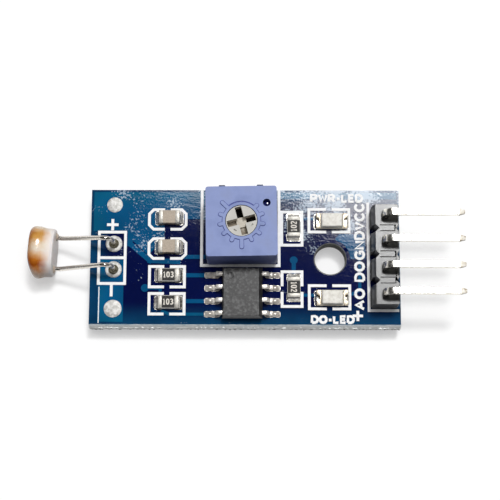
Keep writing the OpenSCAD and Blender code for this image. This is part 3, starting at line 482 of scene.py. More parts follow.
def solder_material(name="solder_joint"):
    """Tin solder, cooled in air: bright and smooth, so that it shows the dark room and glints."""
    return plain_grain(name, 0.3, ("#b3aea4", "#d6d2ca", "#efece7"), (0.13, 0.26), 0.003,
                       Metallic=0.92)


def drawn_solder_material(name):
    """Solder that has flowed out flat or up a lead: whiter and softer in its shine."""
    return plain_grain(name, 0.6, ("#cfc5ba", "#e6e1da"), (0.26, 0.34), 0.001, Metallic=0.6)


def wire_material():
    """Copper-clad steel wire with a drawn tin coat: bright, with faint lengthwise marks."""
    return plain_grain("tinned_wire_drawn", 0.15, ("#cfc9c0", "#ece8e1"), (0.14, 0.3), 0.004,
                       Metallic=1.0)


# Stage and light

def seen_rays(tree):
    """One for rays from the camera, off a glossy surface or through a clear one, else nothing."""
    rays = add_node(tree, "LightPath").outputs
    seen = add_node(tree, "Math", [rays["Is Camera Ray"], rays["Is Glossy Ray"]],
                    operation="MAXIMUM")
    clear = add_node(tree, "Math", [seen, rays["Is Transmission Ray"]], operation="MAXIMUM")
    return clear.outputs[0]


class LIGHTSENSOR_OT_stage(Operator):
    """Makes the floor, the soft lights, the pale room and the camera at the photo's angle"""
    bl_idname = "light_sensor.stage"
    bl_label = "Stage"

    def execute(self, context):
        looks = context.scene.light_sensor_stage
        scene = context.scene
        scene.view_settings.view_transform = "Standard"

        ahead = Vector((0, math.sin(looks.tilt), -math.cos(looks.tilt)))
        right = Matrix.Rotation(looks.roll, 3, ahead) @ Vector((1, 0, 0))
        up = right.cross(ahead)
        camera = bpy.data.cameras.new("photo_camera")
        camera.sensor_fit = "HORIZONTAL"
        camera.angle = 2 * math.atan(HALF_FRAME / FOCAL)
        camera.clip_start = 0.002
        camera.clip_end = 20
        eye = bpy.data.objects.new("photo_camera", camera)
        eye.matrix_world = Matrix.Translation(VIEW_MIDDLE * MM - ahead * looks.distance) @ Matrix(
            (right, up, -ahead)).transposed().to_4x4()
        scene.collection.objects.link(eye)
        scene.camera = eye

        bm = bmesh.new()
        bmesh.ops.create_grid(bm, x_segments=1, y_segments=1, size=3)
        bmesh.ops.translate(bm, verts=bm.verts, vec=(0, 0, FLOOR * MM))
        # Matt white studio paper that glows a little in view, so that its shadows stay pale. It
        # throws back on the object what a grey card would, so that the near sides stay in shade.
        paper, tree, shade = start_material("studio_paper", looks.floor, 0.9,
                                            Specular_IOR_Level=0.0,
                                            Emission_Color=linear(looks.floor))
        seen = seen_rays(tree)
        plain = add_node(tree, "Mix", {
            0: seen, 6: linear("#929292"), 7: linear("#c8c8c8")}, data_type="RGBA")
        tree.links.new(plain.outputs[2], shade.inputs["Base Color"])
        lift = add_node(tree, "Math", [seen, 0.42], operation="MULTIPLY")
        tree.links.new(lift.outputs[0], shade.inputs["Emission Strength"])
        mesh = bpy.data.meshes.new("floor")
        bm.to_mesh(mesh)
        bm.free()
        mesh.materials.append(paper)
        floor = bpy.data.objects.new("floor", mesh)
        scene.collection.objects.link(floor)

        # Half of the light is a large soft box overhead, which doesn't show in reflections, as the
        # camera would hide it there. The key is beyond the far right corner. Round it is a weak
        # wide box, which mirrors in that corner, and a weak strip mirrors along the far edge.
        # Each row has its slope to the right and away, its two sizes and its share.
        centre = Vector((-7.8 * MM, 0, 0))
        reach = 1.5
        for name, east, north, wide, deep, share in (
                ("overhead_box", 0.1, 0.22, 0.4, 0.4, looks.key * 0.48),
                ("key_light", 0.14, 0.355, 0.14, 0.14, looks.key * 0.36),
                ("corner_box", 0.14, 0.335, 0.262, 0.232, looks.key * 0.16),
                ("far_strip", -0.01, 0.286, 0.14, 0.066, looks.key * 0.018)):
            lamp = bpy.data.lights.new(name, "AREA")
            lamp.shape = "ELLIPSE"
            lamp.size = wide * reach
            lamp.size_y = deep * reach
            aim = Vector((east, north, 1)).normalized()
            lamp.energy = share * (math.pi * reach) ** 2 / aim.z ** 3
            place = bpy.data.objects.new(name, lamp)
            place.location = centre + aim * reach
            place.rotation_euler = aim.to_track_quat("Z", "Y").to_euler()
            place.visible_glossy = name != "overhead_box"
            scene.collection.objects.link(place)

        # The room: white round the horizon and dark overhead in view and in reflections. Dull
        # surfaces get an even fill from above and from the far side.
        world = bpy.data.worlds.new("white_room")
        world.use_nodes = True
        scene.world = world
        tree = world.node_tree
        tree.nodes.clear()
        sky = add_node(tree, "TexCoord").outputs["Generated"]
        split = add_node(tree, "SeparateXYZ", [sky])
        level = add_node(tree, "MapRange", [split.outputs[2], 0.05, 0.5, 1.0, 0.03],
                         interpolation_type="SMOOTHSTEP")
        above = add_node(tree, "VectorMath", [sky, Vector((0.08, 0.25, 0.965))],
                         operation="DOT_PRODUCT")
        fill = add_node(tree, "MapRange", [
            above.outputs["Value"], 0.2, 0.95, 0.0, 1.6 * looks.fill],
                        interpolation_type="SMOOTHSTEP")
        strength = add_node(tree, "Mix", {0: seen_rays(tree), 2: fill, 3: level}, data_type="FLOAT")
        light = add_node(tree, "Background", {"Color": linear("#ffffff"), "Strength": strength})
        add_node(tree, "OutputWorld", {"Surface": light})
        return {"FINISHED"}


# Board

class LIGHTSENSOR_OT_board(Operator):
    """Makes the board with its masked faces, torn sides and drilled hole, its copper and pads"""
    bl_idname = "light_sensor.board"
    bl_label = "Board"

    def execute(self, context):
        looks = context.scene.light_sensor_board
        mask = mask_material("solder_mask_on_laminate", looks.mask, "#073a5e")
        # Its colours darken towards its foot: painted shade on the lower scored face
        laminate = laminate_material("glass_epoxy_scored", 0.5, [
            (0.0, "#454340"), (0.05, "#7a7875"), (0.14, "#dededa"), (0.5, "#f0f2f0"),
            (0.92, "#f2f6f7"), (1.0, "#b9ccd4")])
        # Drilled glass-epoxy: dull, paler where the fibres are cut. Its dark grey is painted
        # shade inside the mounting hole
        drilled = plain_grain("glass_epoxy_drilled_shaded", 0.1, ("#4b4c4b", "#8b8c89"), 0.8, 0.02)
        # Snapped along its score: torn white fibres, with dark ragged marks at the foot that are
        # painted shade along the edge's underside
        torn = laminate_material("glass_epoxy_snapped", 1.9, [
            (0.3, "#0f0e0e"), (0.36, "#5a5957"), (0.42, "#f4f3ef"), (0.8, "#f4f6f5")])
        # Tin levelled with hot air on copper: bright, softly rippled, faintly warm
        tin = plain_grain("tin_levelled", 0.3, ("#8f8b84", "#c9c5bd", "#e2dfd9"), (0.12, 0.24),
                          0.006, Metallic=0.9)

        bm = copy_of("board")
        rim = [e for e in bm.edges if all(abs(v.co.z / MM - TOP) < 0.01
                                          and abs(v.co.xy.length / MM - MOUNT_HOLE_RADIUS) < 0.03
                                          for v in e.verts)]
        bmesh.ops.bevel(bm, geom=rim, offset=0.11 * MM, affect="EDGES", segments=1, profile=0.5,
                        material=-1)
        # The long sides were scored from both faces and snapped, so their middle stands out
        for level in (SCORE_LOW, SCORE_HIGH):
            bmesh.ops.bisect_plane(bm, geom=bm.verts[:] + bm.edges[:] + bm.faces[:], dist=1e-7,
                                   plane_co=(0, 0, level * MM), plane_no=(0, 0, 1))
        for v in bm.verts:
            for side, y, out in ((-1, BOARD_LOW.y, TORN_NEAR), (1, BOARD_HIGH.y, TORN_FAR)):
                if abs(v.co.y / MM - y) < 0.01:
                    scored = v.co.z / MM < SCORE_LOW - 0.01 or v.co.z / MM > SCORE_HIGH + 0.01
                    v.co.y += side * (0.0 if scored else out) * MM

        def board_finish(normal, middle):
            if abs(normal.z) > 0.95 and not 0.02 < middle.z < TOP - 0.02:
                return 0
            if middle.xy.length < MOUNT_HOLE_RADIUS + 0.25:
                return 2
            rims = (*(middle - BOARD_LOW).xy, *(BOARD_HIGH - middle).xy)
            return 1 if min(rims) < 0.15 else 3

        assign(bm, board_finish)
        finish_piece(bm, "circuit_board", (mask, laminate, drilled, tin), "solder_mask",
                     replaces=("board",), rounding=0.03, segments=1)
        bm = bmesh.new()
        for side, y, out in ((-1, BOARD_LOW.y, TORN_NEAR - 0.02),
                             (1, BOARD_HIGH.y, TORN_FAR - 0.02)):
            made = bmesh.ops.create_grid(bm, x_segments=300, y_segments=6, size=0.5)["verts"]
            length, height = BOARD_HIGH.x - BOARD_LOW.x - 0.02, SCORE_HIGH - SCORE_LOW + 0.1
            for v in made:
                x, z = v.co.x * length, v.co.y * height
                ragged = (noise.noise(Vector((x * 4.3, z * 7, side * 5)))
                          + 0.5 * noise.noise(Vector((x * 13, z * 9, side * 3))))
                fringe = noise.noise(Vector((x * 5.1, 2, side)))
                v.co = Vector((BOARD_MIDDLE.x + x, y + side * (out + (0.02 + 0.3 * out) * ragged),
                               (SCORE_LOW + SCORE_HIGH) / 2 + z * (1 + 0.5 * fringe))) * MM
            # Its back lies inside the board and closes it
            faces = list({face for v in made for face in v.link_faces})
            grown = bmesh.ops.extrude_face_region(bm, geom=faces)["geom"]
            for v in grown:
                if isinstance(v, bmesh.types.BMVert):
                    v.co.y = (y - side * 0.1) * MM
        face_outwards(bm)
        finish_piece(bm, "snapped_sides", (torn,), "solder_mask", sharp=80)

        copper = mask_material("solder_mask_on_copper", looks.copper, "#07587a")
        dress(copper, "top_copper", "bottom_copper")
        # The tin draws the lands' corners round. The comparator's lands are whiter with solder
        white = drawn_solder_material("solder_levelled")
        bm = copy_of("tinned_pads")
        corners = [e for e in bm.edges if len(e.link_faces) == 2 and e.calc_face_angle() > 1.2
                   and abs(e.verts[0].co.z - e.verts[1].co.z) > 0.02 * MM]
        bmesh.ops.bevel(bm, geom=corners, offset=0.2 * MM, offset_type="OFFSET", affect="EDGES",
                        segments=5, profile=0.5, material=-1, clamp_overlap=True)
        assign(bm, lambda n, p: p.z > TOP - 0.1 and -12.4 < p.x < -4.6 and p.y < -1)
        finish_piece(bm, "tin_lands", (tin, white), "tinned_copper", replaces=("tinned_pads",))

        # Poured copper under the mask: the far left field, the near left field, the far edge's
        # strip and the field beyond the mounting hole
        bm = bmesh.new()
        arc = [1.95 * toward(math.radians(a)) for a in range(75, -1, -15)]
        for outline in ([(-23.0, 6.62), (-12.2, 6.62), (-12.2, 4.28), (-16.1, 4.2), (-16.1, 2.2),
                         (-17.6, 0.3), (-19.1, 1.7), (-19.7, 1.7), (-19.7, 2.7), (-23.0, 2.7)],
                        [(-22.45, -6.2), (-19.98, -6.2), (-19.98, 0.1), (-22.45, 0.1)],
                        [(-4.9, 5.96), (6.5, 5.96), (6.5, 6.62), (-4.9, 6.62)],
                        [(3.4, 0.0), (3.4, 2.45), (0.9, 2.45), (0.55, 2.1), *arc]):
            plate(bm, outline, TOP - FILM_SINK, TOP + FILM_RISE)
        finish_piece(bm, "poured_copper", (copper,), "masked_copper")

        bm = bmesh.new()
        for outline in ([(-22.6, -6.0), (-20.2, -6.0), (-20.2, 5.9), (-22.6, 5.9)],
                        [(-18.6, -4.6), (-5.0, -4.6), (-5.0, -2.9), (-18.6, -2.9)]):
            plate(bm, outline, -FILM_RISE, FILM_SINK)
        finish_piece(bm, "poured_copper_below", (copper,), "masked_copper")
        return {"FINISHED"}


# Legend

# The left side of a round letter, from top to foot
BOW = [(0.47, 1), (0.2, 0.93), (0.04, 0.72), (0, 0.5), (0.04, 0.28), (0.2, 0.07), (0.47, 0)]
# Width and strokes of each character: points run from 0 to 1 up its height
GLYPHS = {
    "P": (0.78, [[(0, 0), (0, 1), (0.5, 1), (0.72, 0.9), (0.78, 0.72), (0.72, 0.55), (0.5, 0.45),
                  (0, 0.45)]]),
    "W": (1.12, [[(0, 1), (0.28, 0), (0.56, 0.85), (0.84, 0), (1.12, 1)]]),
    "R": (0.82, [[(0, 0), (0, 1), (0.5, 1), (0.72, 0.9), (0.78, 0.74), (0.72, 0.57), (0.5, 0.48),
                  (0, 0.48)], [(0.42, 0.46), (0.82, 0)]]),
    "-": (0.42, [[(0, 0.42), (0.42, 0.42)]]),
    "L": (0.66, [[(0, 1), (0, 0), (0.66, 0)]]),
    "E": (0.7, [[(0.7, 1), (0, 1), (0, 0), (0.7, 0)], [(0, 0.52), (0.62, 0.52)]]),
    "D": (0.84, [[(0, 0), (0, 1), (0.44, 1), (0.7, 0.88), (0.84, 0.62), (0.84, 0.38), (0.7, 0.12),
                  (0.44, 0), (0, 0)]]),
    "O": (0.94, [BOW + [(0.74, 0.07), (0.9, 0.28), (0.94, 0.5), (0.9, 0.72), (0.74, 0.93),
                        (0.47, 1)]]),
    "A": (0.88, [[(0, 0), (0.44, 1), (0.88, 0)], [(0.16, 0.36), (0.72, 0.36)]]),
    "G": (0.9, [[(0.86, 0.78), (0.7, 0.94), *BOW, (0.76, 0.05), (0.9, 0.2), (0.9, 0.46),
                 (0.54, 0.46)]]),
    "N": (0.8, [[(0, 0), (0, 1), (0.8, 0), (0.8, 1)]]),
    "V": (0.86, [[(0, 1), (0.43, 0), (0.86, 1)]]),
    "C": (0.88, [[(0.86, 0.78), (0.7, 0.94), *BOW, (0.7, 0.06), (0.88, 0.22)]]),
    "1": (0.44, [[(0, 0.8), (0.22, 1), (0.22, 0)], [(0, 0), (0.44, 0)]]),
    "0": (0.6, [[(0.3, 1), (0.08, 0.9), (0, 0.65), (0, 0.35), (0.08, 0.1), (0.3, 0), (0.52, 0.1),
                 (0.6, 0.35), (0.6, 0.65), (0.52, 0.9), (0.3, 1)]]),
    "2": (0.62, [[(0, 0.78), (0.08, 0.93), (0.3, 1), (0.52, 0.93), (0.6, 0.76), (0.54, 0.58),
                  (0, 0), (0.62, 0)]]),
    "3": (0.62, [[(0.02, 0.9), (0.28, 1), (0.52, 0.93), (0.58, 0.77), (0.5, 0.6), (0.25, 0.54),
                  (0.52, 0.46), (0.62, 0.26), (0.52, 0.07), (0.28, 0), (0, 0.1)]]),
}
LETTER_GAP = 0.38


def lettering(text, at, length, height, turn):
    """Strokes of a word, from the lower left end of its first one, with a heading in degrees."""
    scale = length / (sum(GLYPHS[c][0] for c in text) + LETTER_GAP * (len(text) - 1))
    along = toward(math.radians(turn))
    upward = along.orthogonal()
    lines, start = [], 0.0
    for c in text:
        wide, strokes = GLYPHS[c]
        for stroke in strokes:
            lines.append([Vector(at) + along * (start + x) * scale + upward * y * height
                          for x, y in stroke])
        start += wide + LETTER_GAP
    return lines


class LIGHTSENSOR_OT_legend(Operator):
    """Prints the legend: frames, signs and the plain function marks beside pins and lamps"""
    bl_idname = "light_sensor.legend"
    bl_label = "Legend"

    def execute(self, context):
        looks = context.scene.light_sensor_board
        # Screen-printed epoxy ink: matt white, slightly raised, a little uneven in cover
        ink = plain_grain("legend_ink_printed", 0.4, shades(looks.ink, 0.896, 1.0), 0.55, 0.005)
        dress(ink, "legend_lines")
        lines = []
        for text, at, length, height, turn in (
                ("PWR-LED", (-1.81, 5.72), 4.95, 0.66, 0), ("DO-LED", (-1.8, -6.25), 3.98, 0.62, 0),
                ("AO", (3.2, -4.9), 1.88, 0.8, 90), ("DO", (3.22, -2.14), 1.78, 0.8, 90),
                ("GND", (3.25, 0.02), 2.65, 0.8, 90), ("VCC", (3.28, 2.95), 2.49, 0.8, 90)):
            lines += lettering(text, at, length, height, turn)
        x, y, reach = 2.6, -5.58, 0.5
        lines += [[(x - reach, y), (x + reach, y)], [(x, y - reach), (x, y + reach)]]
        bm = printed(lines, looks.stroke / MM, TOP, TOP + INK_RISE)
        joined(bm, printed([[(-22.33, -2.8), (-22.33, -6.33)]], 0.09, TOP, TOP + 0.05))
        finish_piece(bm, "legend_words", (ink,), "printed_ink")
        return {"FINISHED"}


# Photocell

CELL_YAW = math.radians(3.5)
CELL_PITCH, CELL_ENTRY_PITCH = 2.54, 3.1
CELL_REACH, CELL_AXIS_Z = 5.75, 1.4
CELL_MIDDLE_Y = 0.18
# Half of the disc's width at its flats, as a share, and how sharply they meet its round sides
CELL_FLAT, CELL_CORNER = 0.862, 12
CELL_OUT = Vector((-math.cos(CELL_YAW), math.sin(CELL_YAW), 0))
CELL_ACROSS = Vector((math.sin(CELL_YAW), math.cos(CELL_YAW), 0))


def cell_matrix():
    """Turns the disc's own axes, X up, Y across and Z out of its face, to the part's frame."""
    origin = Vector((HOLE_X, CELL_MIDDLE_Y, CELL_AXIS_Z)) + CELL_REACH * CELL_OUT
    turn = Matrix((Vector((0, 0, 1)), CELL_ACROSS, CELL_OUT)).transposed().to_4x4()
    return Matrix.Translation(origin * MM) @ turn


def cell_solid(profile):
    """Turns a profile of (radius, out) on the disc's own axes and narrows it to the two flats."""
    bm = bmesh.new()
    turned(bm, profile, steps=96)
    for v in bm.verts:
        radius = v.co.xy.length
        if radius > 1e-6:
            upright = max(0.05, abs(v.co.x) / radius)
            v.co.xy *= (1 + (CELL_FLAT / upright) ** -CELL_CORNER) ** (-1 / CELL_CORNER)
    return bm


def lead_path(side):
    """Axis of a lead: up through the board, over, down along a slope and level into the disc."""
    hole = Vector((HOLE_X, CELL_MIDDLE_Y + side * CELL_PITCH / 2))
    entry = Vector((HOLE_X, CELL_MIDDLE_Y)) + CELL_REACH * CELL_OUT.xy
    entry += side * CELL_ENTRY_PITCH / 2 * CELL_ACROSS.xy
    run = entry - hole
    ahead = run.normalized()
    # Radius of both bends, height of the crest and the level run before the disc
    r, crest, level = 0.7, TOP + 2.3, 0.45
    across = run.length - r - level
    drop = crest - CELL_AXIS_Z
    slope_l = math.sqrt(across ** 2 + (2 * r - drop) ** 2 - 4 * r * r)
    slope = math.atan2(drop - 2 * r, across) + math.atan2(2 * r, slope_l)
    one = Vector((r, crest - r))
    start = one + r * Vector((math.sin(slope), math.cos(slope)))
    end = start + slope_l * Vector((math.cos(slope), -math.sin(slope)))
    two = end + r * Vector((math.sin(slope), math.cos(slope)))
    points = [Vector((0, FLOOR)), Vector((0, 0.5))]
    points += [one + r * Vector((-math.cos(a), math.sin(a))) for a in
               [(math.pi / 2 + slope) * i / 12 for i in range(13)]]
    points += [two + r * Vector((math.sin(a), -math.cos(a))) for a in
               [-slope + slope * i / 8 for i in range(9)]]
    points.append(two + Vector((level + 1.2, -r)))
    return [(*(hole + ahead * p.x), p.y) for p in points]


class LIGHTSENSOR_OT_photocell(Operator):
    """Makes the photocell: ceramic disc, photo film and electrodes, amber resin coat and leads"""
    bl_idname = "light_sensor.photocell"
    bl_label = "Photocell"

    def execute(self, context):
        looks = context.scene.light_sensor_photocell
        # Pressed and fired steatite: cream, faintly pink, dull and a little see-through
        ceramic = plain_grain(
            "steatite_fired", 0.5, shades(looks.ceramic, 0.95, 1.05), (0.4, 0.6), 0.01,
            Subsurface_Weight=0.3, Subsurface_Radius=(0.001, 0.0008, 0.0007), Subsurface_Scale=0.6)
        # Sintered cadmium sulphide: orange, finely speckled
        film = plain_grain("photo_film_sintered", 0.12, ("#a94f12", "#d97f25"), 0.6, 0.01)
        # Vapour-deposited tin electrodes: silvery, slightly rough from the film below
        metal = plain_grain("electrode_deposited", 0.15, ("#bfb5a5", "#e4dccf"), 0.4, 0.01,
                            Metallic=0.7)
        # Dipped epoxy resin over the light-sensitive face: clear, faintly amber
        clear = start_material("epoxy_dipped_clear", "#f3dcb0", 0.05, IOR=1.52,
                               Transmission_Weight=1.0)[0]
        # The same resin run round the rim: cloudy, in bands of amber, pale and brown across it,
        # browner toward its front and pale over the disc's back
        resin, tree, shade = start_material(
            "epoxy_dipped_rim", "#dfc9b2", 0.1, IOR=1.52, Subsurface_Weight=0.2,
            Subsurface_Radius=(0.0009, 0.0006, 0.0004), Subsurface_Scale=0.8)
        place = add_node(tree, "TexCoord").outputs["Object"]
        matrix = cell_matrix()
        offset = add_node(tree, "VectorMath", [place, matrix.translation], operation="SUBTRACT")
        cloud = add_node(tree, "TexNoise", {"Vector": place, "Scale": per_mm(0.8), "Detail": 3.0})
        ways = []
        for way, sway in ((CELL_ACROSS, 0.9), (CELL_OUT, 0.7)):
            along = add_node(tree, "VectorMath", [offset, way],
                             operation="DOT_PRODUCT").outputs["Value"]
            ways.append(add_node(tree, "Math", [cloud, sway * MM, along], operation="MULTIPLY_ADD"))
        across = add_node(tree, "MapRange", [ways[0], -2.1 * MM, 3.0 * MM])
        band = add_node(tree, "ValToRGB", [across], [
            (0.02, "#d3b49a"), (0.1, "#bd7630"), (0.17, "#95490c"), (0.28, "#b46a1c"),
            (0.37, "#cda070"), (0.46, "#dbccb9"), (0.58, "#dbc8ad"), (0.68, "#c8964f"),
            (0.83, "#c08b43"), (0.92, "#d8c2a6")])
        deep = add_node(tree, "MapRange", [ways[1], 2.0 * MM, 2.75 * MM])
        edge = add_node(tree, "Mix", {0: deep, 6: band, 7: linear("#b98c58")}, data_type="RGBA",
                        blend_type="MULTIPLY")
        back = add_node(tree, "MapRange", [ways[1], 0.6 * MM, 1.5 * MM])
        tint = add_node(tree, "Mix", {0: back, 6: linear("#e9e0dc"), 7: edge.outputs[2]},
                        data_type="RGBA")
        tree.links.new(tint.outputs[2], shade.inputs["Base Color"])
        shine = add_node(tree, "MapRange", [ways[1], 1.5 * MM, 1.75 * MM, 0.5, 0.12])
        tree.links.new(shine.outputs[0], shade.inputs["Roughness"])
        dress(film, "cell_film")
        dress(metal, "cell_electrodes")

        bm = cell_solid([(0, 0), (2.14, 0), (2.24, 0.03), (2.3, 0.1), (2.32, 0.2), (2.32, 1.3),
                         (0, 1.3)])
        bmesh.ops.transform(bm, matrix=matrix, verts=bm.verts)
        finish_piece(bm, "cell_disc", (ceramic,), "alumina", replaces=("cell_ceramic",), sharp=50)

        # The resin's skin swells to a ridge near its front and thins out over the disc's back edge
        bm = cell_solid([(0, 0.12), (2.27, 0.12), (2.33, 0.17), (2.36, 0.3), (2.37, 0.8),
                         (2.385, 0.95), (2.41, 1.06), (2.455, 1.2), (2.5, 1.37), (2.53, 1.54),
                         (2.548, 1.72), (2.55, 1.86), (2.535, 2.0), (2.49, 2.15), (2.41, 2.27),
                         (2.3, 2.35), (2.16, 2.39), (2.0, 2.4), (0, 2.4)])
        for v in bm.verts:
            out = max(0.0, v.co.z / MM) / 2.4
            aside = max(0.0, -v.co.y / MM - 0.3) / 2.2
            v.co.z -= 0.5 * MM * out * out * aside * aside
        assign(bm, lambda n, p: n.z > 0.9 and p.xy.length < 2.0)
        bmesh.ops.transform(bm, matrix=matrix, verts=bm.verts)
        finish_piece(bm, "cell_resin", (resin, clear), "clear_coat", replaces=("cell_coat",),
                     sharp=60)

        # Where the leads enter, the resin has a small brown-grey collar
        collar_resin = plain_grain("epoxy_collar", 0.3, ("#a08f80", "#cabbab"), 0.3, 0.005)
        wire = wire_material()
        for name, side in (("north", 1), ("south", -1)):
            bm = wires([lead_path(side)], looks.lead / MM)
            entry = matrix.inverted() @ (Vector(lead_path(side)[-1]) * MM)
            collar = bmesh.new()
            turned(collar, [(0, -0.22), (0.25, -0.2), (0.33, -0.1), (0.42, 0.01), (0, 0.01)],
                   steps=24)
            shift = Matrix.Translation((entry.x, entry.y, 0))
            bmesh.ops.transform(collar, matrix=matrix @ shift, verts=collar.verts)
            finish_piece(collar, f"cell_collar_{name}", (collar_resin,), "alumina", sharp=50)
            finish_piece(bm, f"cell_wire_{name}", (wire,), "tinned_wire",
                         replaces=(f"cell_lead_{name}",), sharp=60)
        return {"FINISHED"}


# Trimmer

class LIGHTSENSOR_OT_trimmer(Operator):
    """Makes the setting trimmer: housing with its scale, slotted rotor and what is inside"""
    bl_idname = "light_sensor.trimmer"
    bl_label = "Trimmer"

    def execute(self, context):
        looks = context.scene.light_sensor_trimmer
        # Moulded glass-filled polyester: dull periwinkle, faintly clouded
        plastic = plain_grain("polyester_moulded", 1.6, shades(looks.plastic, 0.92, 1.08, 0.947),
                              (0.45, 0.6), 0.006, contrast=0.25)
        # Moulded nylon, unpainted: warm off-white, dull
        nylon, tree, shade = start_material("nylon_moulded", looks.rotor, 0.55)
        mottle(tree, shade, 0.8, rough=(0.45, 0.65), bump=0.006)
        # Its slot is painted browner and darker the deeper it goes, near black at its bottom:
        # painted shade
        place = add_node(tree, "TexCoord").outputs["Object"]
        split = add_node(tree, "SeparateXYZ", [place])
        rotor_top = node_box("trimmer_rotor")[1].z + 0.12
        cloud = add_node(tree, "TexNoise", {"Vector": place, "Scale": per_mm(0.5), "Detail": 2.0})
        height = add_node(tree, "Math", [cloud, 0.24 * MM, split.outputs[2]],
                          operation="MULTIPLY_ADD")
        slot_shade_depth = add_node(tree, "MapRange", [height, (rotor_top - 2) * MM, rotor_top * MM, 0.0, 1.0])
        band = add_node(tree, "ValToRGB", [slot_shade_depth], [
            (0.1, "#060505"), (0.36, "#1b1611"), (0.5, "#7d7160"), (0.58, "#b9b1a2"),
            (0.7, "#cdc8be")])
        white = add_node(tree, "MapRange", [slot_shade_depth, 0.8, 0.92])
        tint = add_node(tree, "Mix", {0: white, 6: band, 7: linear(looks.rotor)}, data_type="RGBA")
        tree.links.new(tint.outputs[2], shade.inputs["Base Color"])
        # The same plastic where it lies in the shade of the raised scale, and behind the ribs
        shaded = plain_grain("polyester_shaded", 0.3, ("#2a3778", "#3b4a96"), 0.5, 0.004)
        bm = merged("trimmer_housing")
        soften(bm, looks.rounding / MM,
               lambda p: max(abs(p.x - TRIMMER_AT.x), abs(p.y - TRIMMER_AT.y)) > 3.2)
        # The sides are painted a deeper blue than the top: painted shade
        deep = plain_grain("polyester_sides_shaded", 1.6, ("#53609a", "#5f6ca3", "#566399"), (0.38, 0.5),
                           0.004, contrast=0.25)
        assign(bm, lambda n, p: abs(n.z) < 0.3)
        finish_piece(bm, "trimmer_case", (plastic, deep), "trimmer_plastic",
                     replaces=("trimmer_housing",))
        # The scale's outline: eleven tabs, 27 degrees apart on its ring, two of them long
        top = node_box("trimmer_housing")[1].z - 0.08
        radius, half = 1.795, 0.17
        meet = math.sqrt(radius ** 2 - half ** 2)
        step = math.asin(half / radius)
        line = []
        for i in range(11):
            heading = math.radians(135 + 27 * i) + TRIMMER_TURN
            reach = radius + (0.9 if i in (0, 5) else 0.45) - half
            turn = Matrix.Rotation(heading, 2)
            cap = [Vector((reach, 0)) + half * toward(math.pi * (k / 8 - 0.5)) for k in range(9)]
            line += [TRIMMER_AT + turn @ Vector(point)
                     for point in [(meet, -half), *cap, (meet, half)]]
            to = math.radians(27 if i < 10 else 90) - step
            line += [TRIMMER_AT + radius * toward(heading + step + (to - step) * k / 8)
                     for k in range(1, 8)]
        bm = printed([line + line[:1]], 0.12, top - 0.01, top + 0.012)
        far = [TRIMMER_AT + (radius + 0.05) * toward(math.radians(a)) for a in range(51, 133, 9)]
        joined(bm, printed([far], 0.2, top - 0.01, top + 0.016))
        # A drop of dark blue resin shines at the foot of the corner's recess
        dot = TRIMMER_AT + Matrix.Rotation(TRIMMER_TURN, 2) @ Vector((2.42, 1.74))
        turned(bm, [(0, 5.45), (0.14, 5.443), (0.26, 5.425), (0.34, 5.39), (0.365, 5.33),
                    (0.365, 4.99), (0, 4.99)], dot, 24, 1)
        drop = start_material("resin_drop", "#10164a", 0.08, IOR=1.5)[0]
        finish_piece(bm, "trimmer_scale_lines", (shaded, drop), "trimmer_plastic", sharp=60)
        # The tops of the two ribs on the far side lie in shade and show beyond the edge
        bm = bmesh.new()
        for side in (-1, 1):
            made = bmesh.ops.create_cube(bm, size=1)["verts"]
            sized(bm, made, (0.6, 0.3, 0.8), (side * 1.8, 3.4, 5.42))
        bmesh.ops.rotate(bm, verts=bm.verts, cent=(0, 0, 0),
                         matrix=Matrix.Rotation(TRIMMER_TURN, 3, "Z"))
        bmesh.ops.translate(bm, verts=bm.verts, vec=(*(TRIMMER_AT * MM), 0))
        dark = plain_grain("polyester_rib", 0.3, ("#2f3550", "#454d6a"), 0.5, 0.004)
        finish_piece(bm, "trimmer_rib_tops", (dark,), "trimmer_plastic", rounding=0.04)
        refine("trimmer_rotor", "trimmer_dial", nylon, "rotor_plastic", body="rotor")
        dress(plain_grain("silicone_ring", 0.3, ("#222224", "#333336"), 0.7, 0.005), "trimmer_seal")
        dress(plain_grain("brass_stamped", 0.3, ("#b98f3c", "#d8b25c"), 0.3, 0.004, Metallic=1.0),
              "trimmer_wiper")
        dress(plain_grain("alumina_plate", 0.3, ("#e2e0da", "#f2f1ed"), 0.5, 0.005),
              "trimmer_element")
        dress(plain_grain("potting_resin", 0.9, ("#343e76", "#46508c"), (0.25, 0.5), 0.02),
              "trimmer_base")
        dress(wire_material(), "trimmer_pin_1", "trimmer_pin_2", "trimmer_pin_3")
        return {"FINISHED"}


# Comparator

